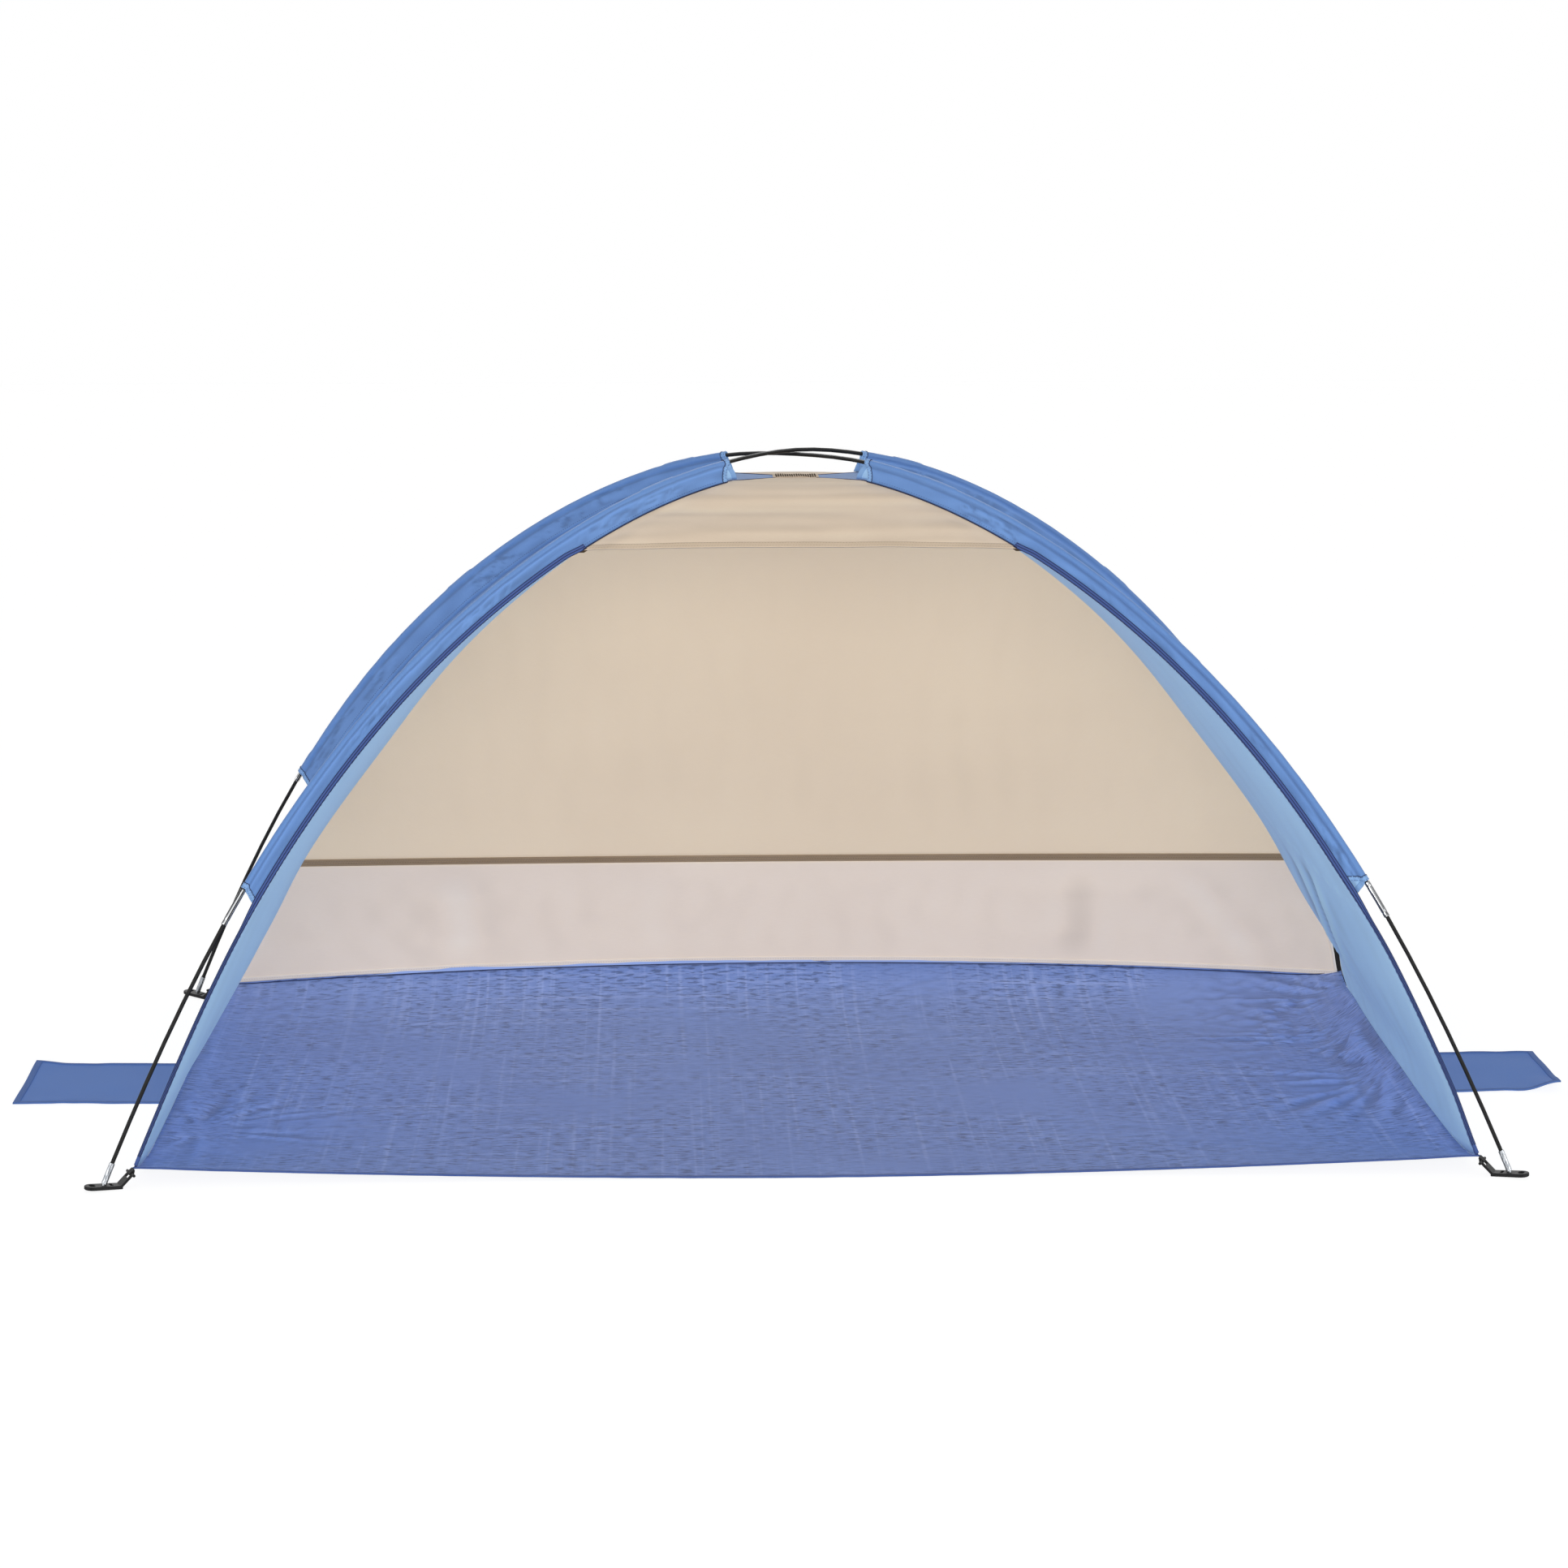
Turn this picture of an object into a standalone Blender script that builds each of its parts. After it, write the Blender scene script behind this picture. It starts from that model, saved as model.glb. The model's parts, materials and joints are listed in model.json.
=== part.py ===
"""Beach tent: two crossed arched poles in fabric sleeves, a canopy sewn from panels, a floor,
plastic feet, two sand flaps and a rear vent with a hanging flap.

Metres, +Z up. X runs across the tent and -Y is the open front. The origin is on the ground
under the crossing of the poles. A share along a pole is 0 at the crossing and 1 at a foot.
"""
import math

import bmesh
import bpy
from mathutils import Matrix, Vector

# Erected size
half_span_x = 0.978            # pole ends from the middle, across the tent
half_span_y = 0.587            # pole ends from the middle, front to back
arch_height = 0.960            # ground to the crossing of the poles
arch_shares = (0.083, 0.441, -0.273)   # how far the arch swells past a parabola

# Poles
rod_radius = 0.0030
section_count = 7
section_shift = 0.020          # the joints in front lie this much nearer their foot
rod_gap = 0.0003               # between the ends of two rods inside a ferrule
crossing_gap = 0.0003          # between the two poles where they cross
crossing_spread = 0.095        # how far from the crossing the poles part again
ferrule_radius = 0.0040
ferrule_bore_radius = 0.0035
ferrule_length = 0.056
tip_cup_length = 0.030
tip_floor_thickness = 0.003
pin_radius = 0.00175
rod_inner_segments = 6
round_sides = 24

# Feet; in their own frame x points away from the tent and z is square to the plate
plate_thickness = 0.005
plate_width = 0.022
plate_reach = 0.026            # pin to each end of the plate
plate_heel_width = 0.019
plate_edge_round = 0.0007
plate_tilt = math.radians(4)   # the outer end is higher
foot_yaw = math.radians(7)     # how far a foot is turned from the line of its pole
pin_play = 0.0006
peg_slot_offset = 0.0150
peg_slot_length = 0.0125
peg_slot_width = 0.0075
strap_slot_offset = -0.0120
strap_slot_length = 0.0120
strap_slot_width = 0.0036
arm_inset = 0.003              # heel to the foot of the arm's middle line
arm_angle = math.radians(47)
arm_length = 0.0235
arm_width = 0.0184
arm_thickness = 0.0036
fork_width = 0.0136            # between the two prongs of the arm
fork_depth = 0.0075
bar_radius = 0.0021
bar_length = 0.032
loop_width = 0.012
loop_thickness = 0.0010
loop_end_spread = 0.0016       # between the middles of its two ends
seat_gap = 0.0003              # between pieces that touch
cut_overrun = 0.004            # how far a cutter runs past what it cuts

# Fabric
cloth_thickness = 0.0010
sleeve_thickness = 0.0008
tape_thickness = 0.0014
seam_half_gap = 0.0007         # panel edge to the middle of its seam
sleeve_depth = 0.028           # pole axis to the seam under it
corner_draw = 0.007            # the seam lies this much deeper at the feet
sleeve_foot = 0.008            # seam to each lower edge of a sleeve
sleeve_ease = 0.0018           # clearance between a ferrule and its sleeve
tip_share = 0.020
sleeve_top_share = 0.104
awning_hem_share = 0.340
sleeve_end_share = 0.802
tape_share = 0.884
corner_share = 0.983
binding_width = 0.010
vent_binding_width = 0.008
awning_hem_width = 0.014
awning_hem_pull_share = 0.010  # the hem is drawn back in the middle
tape_width = 0.012
floor_hem_width = 0.012
side_sag_share = 0.038         # of the panel's width at that height
rear_sag_share = 0.030
rear_rise = 0.034              # the rear edge of the floor is lifted in the middle
rear_pull = 0.010              # and drawn in
front_pull = 0.006             # the front edge of the floor is drawn in too
lift_power = 6                 # how suddenly the bottom edges rise to the corners
front_lift_power = 1.8         # the front edge of the floor is pulled straight
floor_margin = 0.003           # the floor runs this far past the wall standing on it
floor_step = 0.0011            # wall edge above the middle of the floor sheet
patch_half_length = 0.034
patch_half_width = 0.026
panel_columns = 8
awning_columns = 6

# Flaps
sand_flap_width = 0.240
sand_flap_length = 0.234
sand_flap_gap = 0.0006         # floor edge to the flap
hinge_inset = 0.0010           # hinge line inside the edge of a flap
vent_flap_top_gap = 0.0006
vent_flap_side_gap = 0.0006
vent_flap_foot_gap = 0.0030

left, right = -1, 1
front, rear = -1, 1
corners = {
    "front_left": (left, front),
    "front_right": (right, front),
    "rear_left": (left, rear),
    "rear_right": (right, rear),
}
poles = {"a": ("front_left", "rear_right"), "b": ("front_right", "rear_left")}
pole_lift_signs = {"a": 1, "b": -1}      # pole a lies over pole b
path_steps = 600
up = Vector((0, 0, 1))
diagonal = math.hypot(half_span_x, half_span_y)


def new_collection(name):
    collection = bpy.data.collections.new(name)
    bpy.context.scene.collection.children.link(collection)
    return collection


for leftover in list(bpy.data.objects):
    bpy.data.objects.remove(leftover, do_unlink=True)
parts = new_collection("beach_tent")
cutters = new_collection("cutters")
cutters.hide_render = True


# Materials

def new_material(name, colour, roughness, metallic=0.0):
    material = bpy.data.materials.new(name)
    material.use_nodes = True
    shader = material.node_tree.nodes["Principled BSDF"]
    shader.inputs["Base Color"].default_value = (*colour, 1.0)
    shader.inputs["Roughness"].default_value = roughness
    shader.inputs["Metallic"].default_value = metallic
    return material


rod_black = new_material("rod_black", (0.015, 0.015, 0.016), 0.45)
steel = new_material("steel", (0.62, 0.64, 0.66), 0.30, 1.0)
foot_black = new_material("foot_black", (0.012, 0.012, 0.013), 0.55)
loop_black = new_material("loop_black", (0.020, 0.020, 0.022), 0.85)
canopy_beige = new_material("canopy_beige", (0.66, 0.55, 0.43), 0.80)
hem_beige = new_material("hem_beige", (0.58, 0.48, 0.37), 0.82)
flap_beige = new_material("flap_beige", (0.64, 0.57, 0.53), 0.82)
tape_brown = new_material("tape_brown", (0.24, 0.19, 0.13), 0.85)
vent_binding_black = new_material("vent_binding_black", (0.02, 0.018, 0.02), 0.85)
wall_blue = new_material("wall_blue", (0.27, 0.46, 0.70), 0.75)
sleeve_blue = new_material("sleeve_blue", (0.13, 0.26, 0.55), 0.70)
binding_blue = new_material("binding_blue", (0.06, 0.11, 0.32), 0.75)
floor_blue = new_material("floor_blue", (0.14, 0.20, 0.46), 0.50)
sand_flap_blue = new_material("sand_flap_blue", (0.10, 0.20, 0.46), 0.65)


# Shapes

def add_object(name, data, material, collection=parts):
    obj = bpy.data.objects.new(name, data)
    collection.objects.link(obj)
    if material is not None:
        data.materials.append(material)
    if collection is cutters:
        obj.hide_render = True
        obj.display_type = "WIRE"
    return obj


def object_from_bmesh(name, bm, material, collection=parts):
    mesh = bpy.data.meshes.new(name)
    bm.to_mesh(mesh)
    bm.free()
    mesh.shade_smooth()
    mesh.set_sharp_from_angle(angle=math.radians(40))
    return add_object(name, mesh, material, collection)


def sheet(name, rows, thickness, material, origin=Vector()):
    """A thin closed sheet around the surface through rows of points."""
    row_steps = len(rows) - 1
    column_steps = len(rows[0]) - 1
    bm = bmesh.new()
    bmesh.ops.create_grid(bm, x_segments=column_steps, y_segments=row_steps, size=1)
    for vert in bm.verts:
        column = round((vert.co.x + 1) / 2 * column_steps)
        row = round((vert.co.y + 1) / 2 * row_steps)
        vert.co = rows[row][column] - origin
    obj = object_from_bmesh(name, bm, material)
    obj.location = origin
    solidify = obj.modifiers.new("thickness", "SOLIDIFY")
    solidify.thickness = thickness
    solidify.offset = 0
    return obj


def tube(name, points, radius, material, bore_radius=0.0):
    """A round bar along the points, or a tube where it has a bore."""
    curve = bpy.data.curves.new(name, "CURVE")
    curve.dimensions = "3D"
    curve.bevel_depth = radius
    curve.bevel_resolution = 2
    curve.use_fill_caps = not bore_radius
    spline = curve.splines.new("POLY")
    spline.points.add(len(points) - 1)
    spline.use_smooth = True
    for spline_point, point in zip(spline.points, points):
        spline_point.co = (*point, 1)
    obj = add_object(name, curve, material)
    if bore_radius:
        wall = obj.modifiers.new("wall", "SOLIDIFY")
        wall.thickness = radius - bore_radius
        wall.offset = -1
    return obj


def plate(name, outlines, thickness, edge_round, material, collection=parts):
    """A flat plate from closed outlines in XY; the outlines inside the first are holes."""
    curve = bpy.data.curves.new(name, "CURVE")
    curve.dimensions = "2D"
    curve.fill_mode = "BOTH"
    curve.extrude = thickness / 2 - edge_round
    curve.bevel_depth = edge_round
    curve.bevel_resolution = 0
    curve.offset = -edge_round
    for outline in outlines:
        spline = curve.splines.new("POLY")
        spline.points.add(len(outline) - 1)
        spline.use_cyclic_u = True
        for spline_point, (x, y) in zip(spline.points, outline):
            spline_point.co = (x, y, 0, 1)
    drawing = bpy.data.objects.new(name, curve)
    bpy.context.scene.collection.objects.link(drawing)
    bpy.context.view_layer.update()
    graph = bpy.context.evaluated_depsgraph_get()
    mesh = bpy.data.meshes.new_from_object(drawing.evaluated_get(graph))
    bpy.data.objects.remove(drawing, do_unlink=True)
    bm = bmesh.new()
    bm.from_mesh(mesh)
    bmesh.ops.remove_doubles(bm, verts=bm.verts, dist=seat_gap / 30)
    bmesh.ops.recalc_face_normals(bm, faces=bm.faces)
    return object_from_bmesh(name, bm, material, collection)


def round_bar(name, radius, length, frame):
    """A cutter, or a helper for a union: a bar along z of its frame."""
    bm = bmesh.new()
    bmesh.ops.create_cone(
        bm, cap_ends=True, segments=round_sides, radius1=radius, radius2=radius, depth=length,
        matrix=frame)
    return object_from_bmesh(name, bm, None, cutters)


def block(name, size, frame):
    bm = bmesh.new()
    bmesh.ops.create_cube(bm, size=1, matrix=frame @ Matrix.Diagonal((*size, 1)))
    return object_from_bmesh(name, bm, None, cutters)


def combine(obj, operation, helper):
    helper.parent = obj
    modifier = obj.modifiers.new(helper.name, "BOOLEAN")
    modifier.operation = operation
    modifier.solver = "EXACT"
    modifier.object = helper


def arc(centre_x, centre_y, radius, start, end, steps):
    """Points of a round stretch of an outline, ends included."""
    angles = [start + (end - start) * step / steps for step in range(steps + 1)]
    return [(centre_x + radius * math.cos(angle), centre_y + radius * math.sin(angle))
            for angle in angles]


def slot_outline(centre_x, length, width):
    """A slot across the plate, with round ends."""
    half_run = (length - width) / 2
    upper = arc(centre_x, half_run, width / 2, 0, math.pi, round_sides // 4)
    lower = arc(centre_x, -half_run, width / 2, math.pi, 2 * math.pi, round_sides // 4)
    return upper + lower


def smooth_step(value):
    value = min(max(value, 0.0), 1.0)
    return value * value * (3 - 2 * value)


def evenly(start, end, count):
    """Count steps from start towards end, without the end."""
    return [start + (end - start) * step / count for step in range(count)]


# The arch of the poles

def arch_z(share):
    square = share * share
    swell = sum(value * square ** (power + 1) for power, value in enumerate(arch_shares))
    return arch_height * (1 - square) * (1 + swell)


def arch_slope(share):
    """Height gained over one whole share, towards the foot."""
    step = 1 / path_steps
    return (arch_z(share + step) - arch_z(share - step)) / (2 * step)


def outward(corner):
    side, end = corner
    return Vector((side * half_span_x, end * half_span_y, 0)) / diagonal


def arch_point(corner, share):
    return outward(corner) * (share * diagonal) + up * arch_z(share)


def arch_normal(corner, share):
    """Away from the tent, square to the pole, in the upright plane of the pole."""
    return (up * diagonal - outward(corner) * arch_slope(share)).normalized()


def share_run(length, share):
    """A length along the arch as a difference of shares."""
    return length / math.hypot(diagonal, arch_slope(share))


# The seams under the poles, and the panels between them

def seam_station(corner, share):
    """The seam runs level between the inner ends of the sleeves."""
    held_share = max(share, sleeve_top_share)
    draw = smooth_step((held_share - sleeve_end_share) / (corner_share - sleeve_end_share))
    inset = sleeve_depth + corner_draw * draw
    point = arch_point(corner, held_share) - arch_normal(corner, held_share) * inset
    level = Vector((point.x, point.y, 0)) * (share / held_share)
    return level + up * point.z


stations = (
    [tip_share]
    + evenly(sleeve_top_share, awning_hem_share, 3)
    + evenly(awning_hem_share, sleeve_end_share, 6)
    + evenly(sleeve_end_share, tape_share, 2)
    + evenly(tape_share, corner_share, 2)
    + [corner_share]
)
canopy_corner = seam_station(corners["rear_right"], corner_share)
floor_middle = cloth_thickness / 2
wall_foot = floor_middle + floor_step
corner_lift = canopy_corner.z - wall_foot


def side_station(side, share, position):
    """A side wall; position runs from -1 at the front seam to 1 at the rear seam."""
    start = seam_station((side, front), share)
    end = seam_station((side, rear), share)
    point = start.lerp(end, (position + 1) / 2)
    inward = Vector((side * arch_slope(share), 0, -half_span_x)).normalized()
    onset = smooth_step(2 * (share - sleeve_top_share) / (sleeve_end_share - sleeve_top_share))
    fade = 1 - smooth_step((share - tape_share) / (corner_share - tape_share))
    sag = side_sag_share * (end - start).length * onset * fade
    point += inward * sag * (1 - position ** 2)
    drop = smooth_step((share - sleeve_end_share) / (corner_share - sleeve_end_share))
    point.z -= corner_lift * drop * (1 - position ** lift_power)
    return point


def rear_station(share, position):
    """The rear wall; position runs from -1 at the left seam to 1 at the right seam."""
    start = seam_station((left, rear), share)
    end = seam_station((right, rear), share)
    point = start.lerp(end, (position + 1) / 2)
    crown = 1 - position ** 2
    inward = Vector((0, arch_slope(share), -half_span_y)).normalized()
    swell = math.sin(math.pi * min((share - tip_share) / (tape_share - tip_share), 1))
    point += inward * rear_sag_share * (end - start).length * swell * crown
    rise = smooth_step((share - tape_share) / (corner_share - tape_share))
    point.z += rear_rise * rise * crown
    point.y -= rear_pull * rise * crown
    return point


def awning_station(share, position):
    start = seam_station((left, front), share)
    end = seam_station((right, front), share)
    return start.lerp(end, (position + 1) / 2)


def between_stations(surface, share):
    """A point at a share, straight between the stations on either side of it."""
    low = max(station for station in stations if station <= share)
    high = min([station for station in stations if station > low], default=low)
    if high == low:
        return surface(low)
    return surface(low).lerp(surface(high), (share - low) / (high - low))


def side_wall(side, share, position):
    return between_stations(lambda station: side_station(side, station, position), share)


def rear_wall(share, position):
    return between_stations(lambda station: rear_station(station, position), share)


def awning_cloth(share, position):
    pull = awning_hem_pull_share * (share / awning_hem_share) ** 2 * (1 - position ** 2)
    drawn_share = max(share * (1 - pull), tip_share)
    return between_stations(lambda station: awning_station(station, position), drawn_share)


def columns(count):
    return [2 * step / count - 1 for step in range(count + 1)]


def shares_between(start, end):
    """Both ends and the stations between them."""
    return [start] + [station for station in stations if start < station < end] + [end]


def panel_row(surface, share, count, first_margin, last_margin):
    """One row of a panel, its two ends held off the seams by the margins."""
    points = [surface(share, position) for position in columns(count)]
    first_run = (points[1] - points[0]).normalized()
    last_run = (points[-2] - points[-1]).normalized()
    points[0] = points[0] + first_run * first_margin
    points[-1] = points[-1] + last_run * last_margin
    return points


# Canopy

def make_side_wall(name, side):
    binding_start = awning_hem_share - share_run(seat_gap, awning_hem_share)
    taper_start = binding_start - share_run(binding_width, awning_hem_share)
    shares = sorted(shares_between(tip_share, corner_share) + [binding_start, taper_start])
    rows = []
    for share in shares:
        margin = seam_half_gap
        if share >= binding_start:
            margin += binding_width + seat_gap
        rows.append(panel_row(
            lambda at, position: side_wall(side, at, position),
            share, panel_columns, margin, seam_half_gap))
    sheet(name, rows, cloth_thickness, wall_blue)


def make_edge_binding(name, side):
    rows = []
    for share in shares_between(awning_hem_share, corner_share):
        edge = side_wall(side, share, -1)
        run = (side_wall(side, share, columns(panel_columns)[1]) - edge).normalized()
        rows.append([edge + run * seam_half_gap, edge + run * (seam_half_gap + binding_width)])
    sheet(name, rows, tape_thickness, binding_blue)


def make_awning():
    hem_top = awning_hem_share - share_run(awning_hem_width, awning_hem_share)
    cloth_end = hem_top - share_run(seat_gap, awning_hem_share)
    rows = [panel_row(awning_cloth, share, awning_columns, seam_half_gap, seam_half_gap)
            for share in shares_between(tip_share, cloth_end)]
    sheet("awning", rows, cloth_thickness, canopy_beige)
    hem_rows = [panel_row(awning_cloth, share, awning_columns, seam_half_gap, seam_half_gap)
                for share in (hem_top, awning_hem_share)]
    sheet("awning_hem", hem_rows, tape_thickness, hem_beige)


def make_rear_panel_and_tape():
    tape_top = tape_share - share_run(tape_width, tape_share)
    cloth_end = tape_top - share_run(seat_gap, tape_share)
    rows = [panel_row(rear_wall, share, panel_columns, seam_half_gap, seam_half_gap)
            for share in shares_between(tip_share, cloth_end)]
    sheet("rear_panel", rows, cloth_thickness, canopy_beige)
    tape_rows = [panel_row(rear_wall, share, panel_columns, seam_half_gap, seam_half_gap)
                 for share in (tape_top, tape_share)]
    sheet("rear_tape", tape_rows, tape_thickness, tape_brown)


def make_vent_binding(name, side):
    """The edge of the vent opening beside one rear seam."""
    top = tape_share + share_run(seat_gap, tape_share)
    rows = []
    for share in shares_between(top, corner_share):
        edge = rear_wall(share, side)
        inner = rear_wall(share, side * columns(panel_columns)[-2])
        run = (inner - edge).normalized()
        outer_point = edge + run * seam_half_gap
        rows.append([outer_point, outer_point + run * vent_binding_width])
    sheet(name, rows, cloth_thickness, vent_binding_black)


def make_vent_flap():
    """It hangs from the tape and swings out about its upper edge."""
    top = tape_share + share_run(vent_flap_top_gap, tape_share)
    foot = corner_share - share_run(vent_flap_foot_gap, corner_share)
    margin = seam_half_gap + vent_binding_width + vent_flap_side_gap
    rows = [panel_row(rear_wall, share, panel_columns, margin, margin)
            for share in shares_between(top, foot)]
    upper = rear_wall(top, 0)
    hinge = upper + (rear_wall(foot, 0) - upper).normalized() * hinge_inset
    sheet("vent_flap", rows, cloth_thickness, flap_beige, hinge)


def make_apex_patch():
    height = seam_station(corners["rear_right"], tip_share).z + cloth_thickness + seat_gap
    rows = [[Vector((x, y, height)) for x in (-patch_half_length, 0, patch_half_length)]
            for y in (-patch_half_width, 0, patch_half_width)]
    sheet("apex_patch", rows, cloth_thickness, hem_beige)


# Floor and sand flaps

floor_corner_x = canopy_corner.x + floor_margin
floor_corner_y = canopy_corner.y + floor_margin


def floor_point(across, along):
    """The floor sheet; across runs from left to right and along from front to rear."""
    x = across * (floor_corner_x if abs(across) == 1 else canopy_corner.x)
    y = along * (floor_corner_y if abs(along) == 1 else canopy_corner.y)
    crown = 1 - across ** 2
    lift = corner_lift * along ** lift_power
    if along < 0:
        lift *= abs(across) ** front_lift_power
    else:
        lift += rear_rise * crown * along ** lift_power
    if along == 1:
        y -= rear_pull * crown
    if along == -1:
        y += front_pull * crown
    return Vector((x, y, floor_middle + lift))


def make_floor():
    rows = [[floor_point(across, along) for across in columns(panel_columns)]
            for along in columns(panel_columns)]
    edge_row, next_row = rows[:2]
    runs = [(inner - edge).normalized() for edge, inner in zip(edge_row, next_row)]
    hem_row = [edge + run * floor_hem_width for edge, run in zip(edge_row, runs)]
    rows[0] = [edge + run * (floor_hem_width + seat_gap) for edge, run in zip(edge_row, runs)]
    sheet("floor_sheet", rows, cloth_thickness, floor_blue)
    sheet("floor_front_hem", [edge_row, hem_row], cloth_thickness, binding_blue)


def make_sand_flap(name, side):
    """It lies on the ground outside a side wall and swings up about its inner edge."""
    inner_x = side * (floor_corner_x + sand_flap_gap)
    outer_x = inner_x + side * sand_flap_length
    half_width = sand_flap_width / 2
    rows = [[Vector((x, y, floor_middle)) for x in (inner_x, (inner_x + outer_x) / 2, outer_x)]
            for y in (-half_width, 0, half_width)]
    hinge = Vector((inner_x + side * hinge_inset, 0, floor_middle))
    sheet(name, rows, cloth_thickness, sand_flap_blue, hinge)


# Sleeves

def sleeve_foot_point(surface, share, edge_position, inner_position, normal, ridge_point):
    """Where one lower edge of a sleeve stands on the panel beside the seam."""
    edge = surface(share, edge_position)
    run = (surface(share, inner_position) - edge).normalized()
    foot = edge + run * sleeve_foot
    wall = (ridge_point - foot).normalized()
    panel_normal = (normal - run * normal.dot(run)).normalized()
    stand_off = tape_thickness / 2 + seat_gap + sleeve_thickness / 2 * abs(wall.dot(run))
    return foot + panel_normal * stand_off


def sleeve_row(corner, share):
    side, end = corner
    normal = arch_normal(corner, share)
    towards_side = outward(corner).cross(up) * (side * end)
    centre = arch_point(corner, share)
    radius = (ferrule_radius + sleeve_ease + sleeve_thickness / 2) / math.cos(math.pi / 6)
    angles = [math.pi * step / 3 for step in range(4)]
    ridge = [centre + towards_side * (radius * math.cos(angle))
             + normal * (radius * math.sin(angle)) for angle in angles]
    first_inner = columns(panel_columns)[1]
    side_foot = sleeve_foot_point(
        lambda at, position: side_wall(side, at, position),
        share, end, -end * first_inner, normal, ridge[0])
    if end == rear:
        end_foot = sleeve_foot_point(
            rear_wall, share, side, -side * first_inner, normal, ridge[-1])
    elif share <= awning_hem_share:
        end_foot = sleeve_foot_point(
            awning_cloth, share, side, -side * columns(awning_columns)[1], normal, ridge[-1])
    else:
        end_foot = side_foot - towards_side * 2 * (side_foot - centre).dot(towards_side)
    return [side_foot] + ridge + [end_foot]


def make_sleeve(name, corner):
    shares = shares_between(sleeve_top_share, sleeve_end_share)
    middles = [(low + high) / 2 for low, high in zip(shares, shares[1:])]
    rows = [sleeve_row(corner, share) for share in sorted(shares + middles)]
    sheet(name, rows, sleeve_thickness, sleeve_blue)


# Poles

def pole_path(pole):
    """Distance from the front foot and place, for points all along the pole."""
    front_corner = corners[poles[pole][0]]
    samples = []
    travelled = 0.0
    for step in range(path_steps + 1):
        share = 1 - 2 * step / path_steps
        part_away = math.exp(-(share * diagonal / crossing_spread) ** 2)
        lift = pole_lift_signs[pole] * (rod_radius + crossing_gap / 2) * part_away
        point = arch_point(front_corner, share) + up * lift
        if samples:
            travelled += (point - samples[-1][1]).length
        samples.append((travelled, point))
    return samples


def path_point(path, distance):
    for (low, start), (high, end) in zip(path, path[1:]):
        if distance <= high:
            return start.lerp(end, (distance - low) / (high - low))
    return path[-1][1]


def tip_run(corner):
    """Up the straight end of the pole at this corner."""
    reach = 1 - share_run(tip_cup_length + 2 * plate_thickness, 1)
    return (arch_point(corner, reach) - arch_point(corner, 1)).normalized()


pin_lean = tip_run(corners["rear_right"]).angle(up)
plate_middle = (
    plate_thickness / 2 * math.cos(plate_tilt) + plate_reach * math.sin(plate_tilt)
)
plate_top = plate_middle + plate_thickness / 2 / math.cos(plate_tilt)
pin_end = pin_radius * math.tan(pin_lean)     # along the pole, from the ground
pin_length = (
    plate_top / math.cos(pin_lean) - pin_end
    + ferrule_radius * math.tan(pin_lean - plate_tilt) + seat_gap
)
rod_start = pin_end + pin_length + tip_floor_thickness + seat_gap


def joint_distance(number, pole_length):
    """From the front foot to the joint behind a rod."""
    return pole_length * number / section_count - section_shift


def rod_distances(number, pole_length):
    """Distances along the pole of the bends of one rod."""
    start = rod_start
    end = pole_length - rod_start
    if number > 1:
        start = joint_distance(number - 1, pole_length) + rod_gap / 2
    if number < section_count:
        end = joint_distance(number, pole_length) - rod_gap / 2
    straight = (ferrule_length - rod_gap) / 2
    inner_start = start + straight
    inner_end = end - straight
    bends = evenly(inner_start, inner_end, rod_inner_segments) + [inner_end]
    middle = pole_length / 2
    if start < middle < end:
        near = [middle + crossing_spread * step / 3 for step in range(-5, 6)]
        far = [bend for bend in bends if abs(bend - middle) > crossing_spread * 2]
        bends = sorted(near + far)
    return [start] + bends + [end]


def make_pole(pole):
    path = pole_path(pole)
    pole_length = path[-1][0]
    for number in range(1, section_count + 1):
        distances = rod_distances(number, pole_length)
        points = [path_point(path, distance) for distance in distances]
        tube(f"pole_{pole}_section_{number}", points, rod_radius, rod_black)
    for number in range(1, section_count):
        joint = joint_distance(number, pole_length)
        half = ferrule_length / 2
        points = [path_point(path, joint + shift) for shift in (-half, 0, half)]
        tube(f"pole_{pole}_ferrule_{number}", points, ferrule_radius, steel,
             ferrule_bore_radius)


def make_tip(name, corner):
    """A steel cup on the end of the pole, with a pin below it that stands on the ground."""
    cup_floor = pin_length + tip_floor_thickness
    cup_top = pin_length + tip_cup_length
    profile = [
        (0, cup_floor), (ferrule_bore_radius, cup_floor), (ferrule_bore_radius, cup_top),
        (ferrule_radius, cup_top), (ferrule_radius, pin_length), (pin_radius, pin_length),
        (pin_radius, 0), (0, 0),
    ]
    bm = bmesh.new()
    verts = [bm.verts.new((radius, 0, height)) for radius, height in profile]
    for first, second in zip(verts, verts[1:]):
        bm.edges.new((first, second))
    tip = object_from_bmesh(name, bm, steel)
    screw = tip.modifiers.new("turn", "SCREW")
    screw.steps = round_sides
    screw.render_steps = round_sides
    screw.use_merge_vertices = True
    screw.merge_threshold = seat_gap / 30
    tip.location = arch_point(corner, 1) + tip_run(corner) * pin_end
    tip.rotation_mode = "QUATERNION"
    tip.rotation_quaternion = up.rotation_difference(tip_run(corner))
    return tip


# Feet and the webbing loops that hold them to the canopy

arm_run = Vector((-math.cos(arm_angle), 0, math.sin(arm_angle)))
arm_foot = Vector((arm_inset - plate_reach, 0, 0))
bar_centre = arm_foot + arm_run * arm_length
bar_frame = Matrix.Translation(bar_centre) @ Matrix.Rotation(math.pi / 2, 4, "X")
arm_turn = Matrix.Rotation(arm_angle - math.pi / 2, 4, "Y")


def foot_pivot(corner, tip):
    """Where the pin passes the middle of the plate; the foot swivels about it."""
    run = tip_run(corner)
    return tip.location + run * ((plate_middle - tip.location.z) / run.z)


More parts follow.
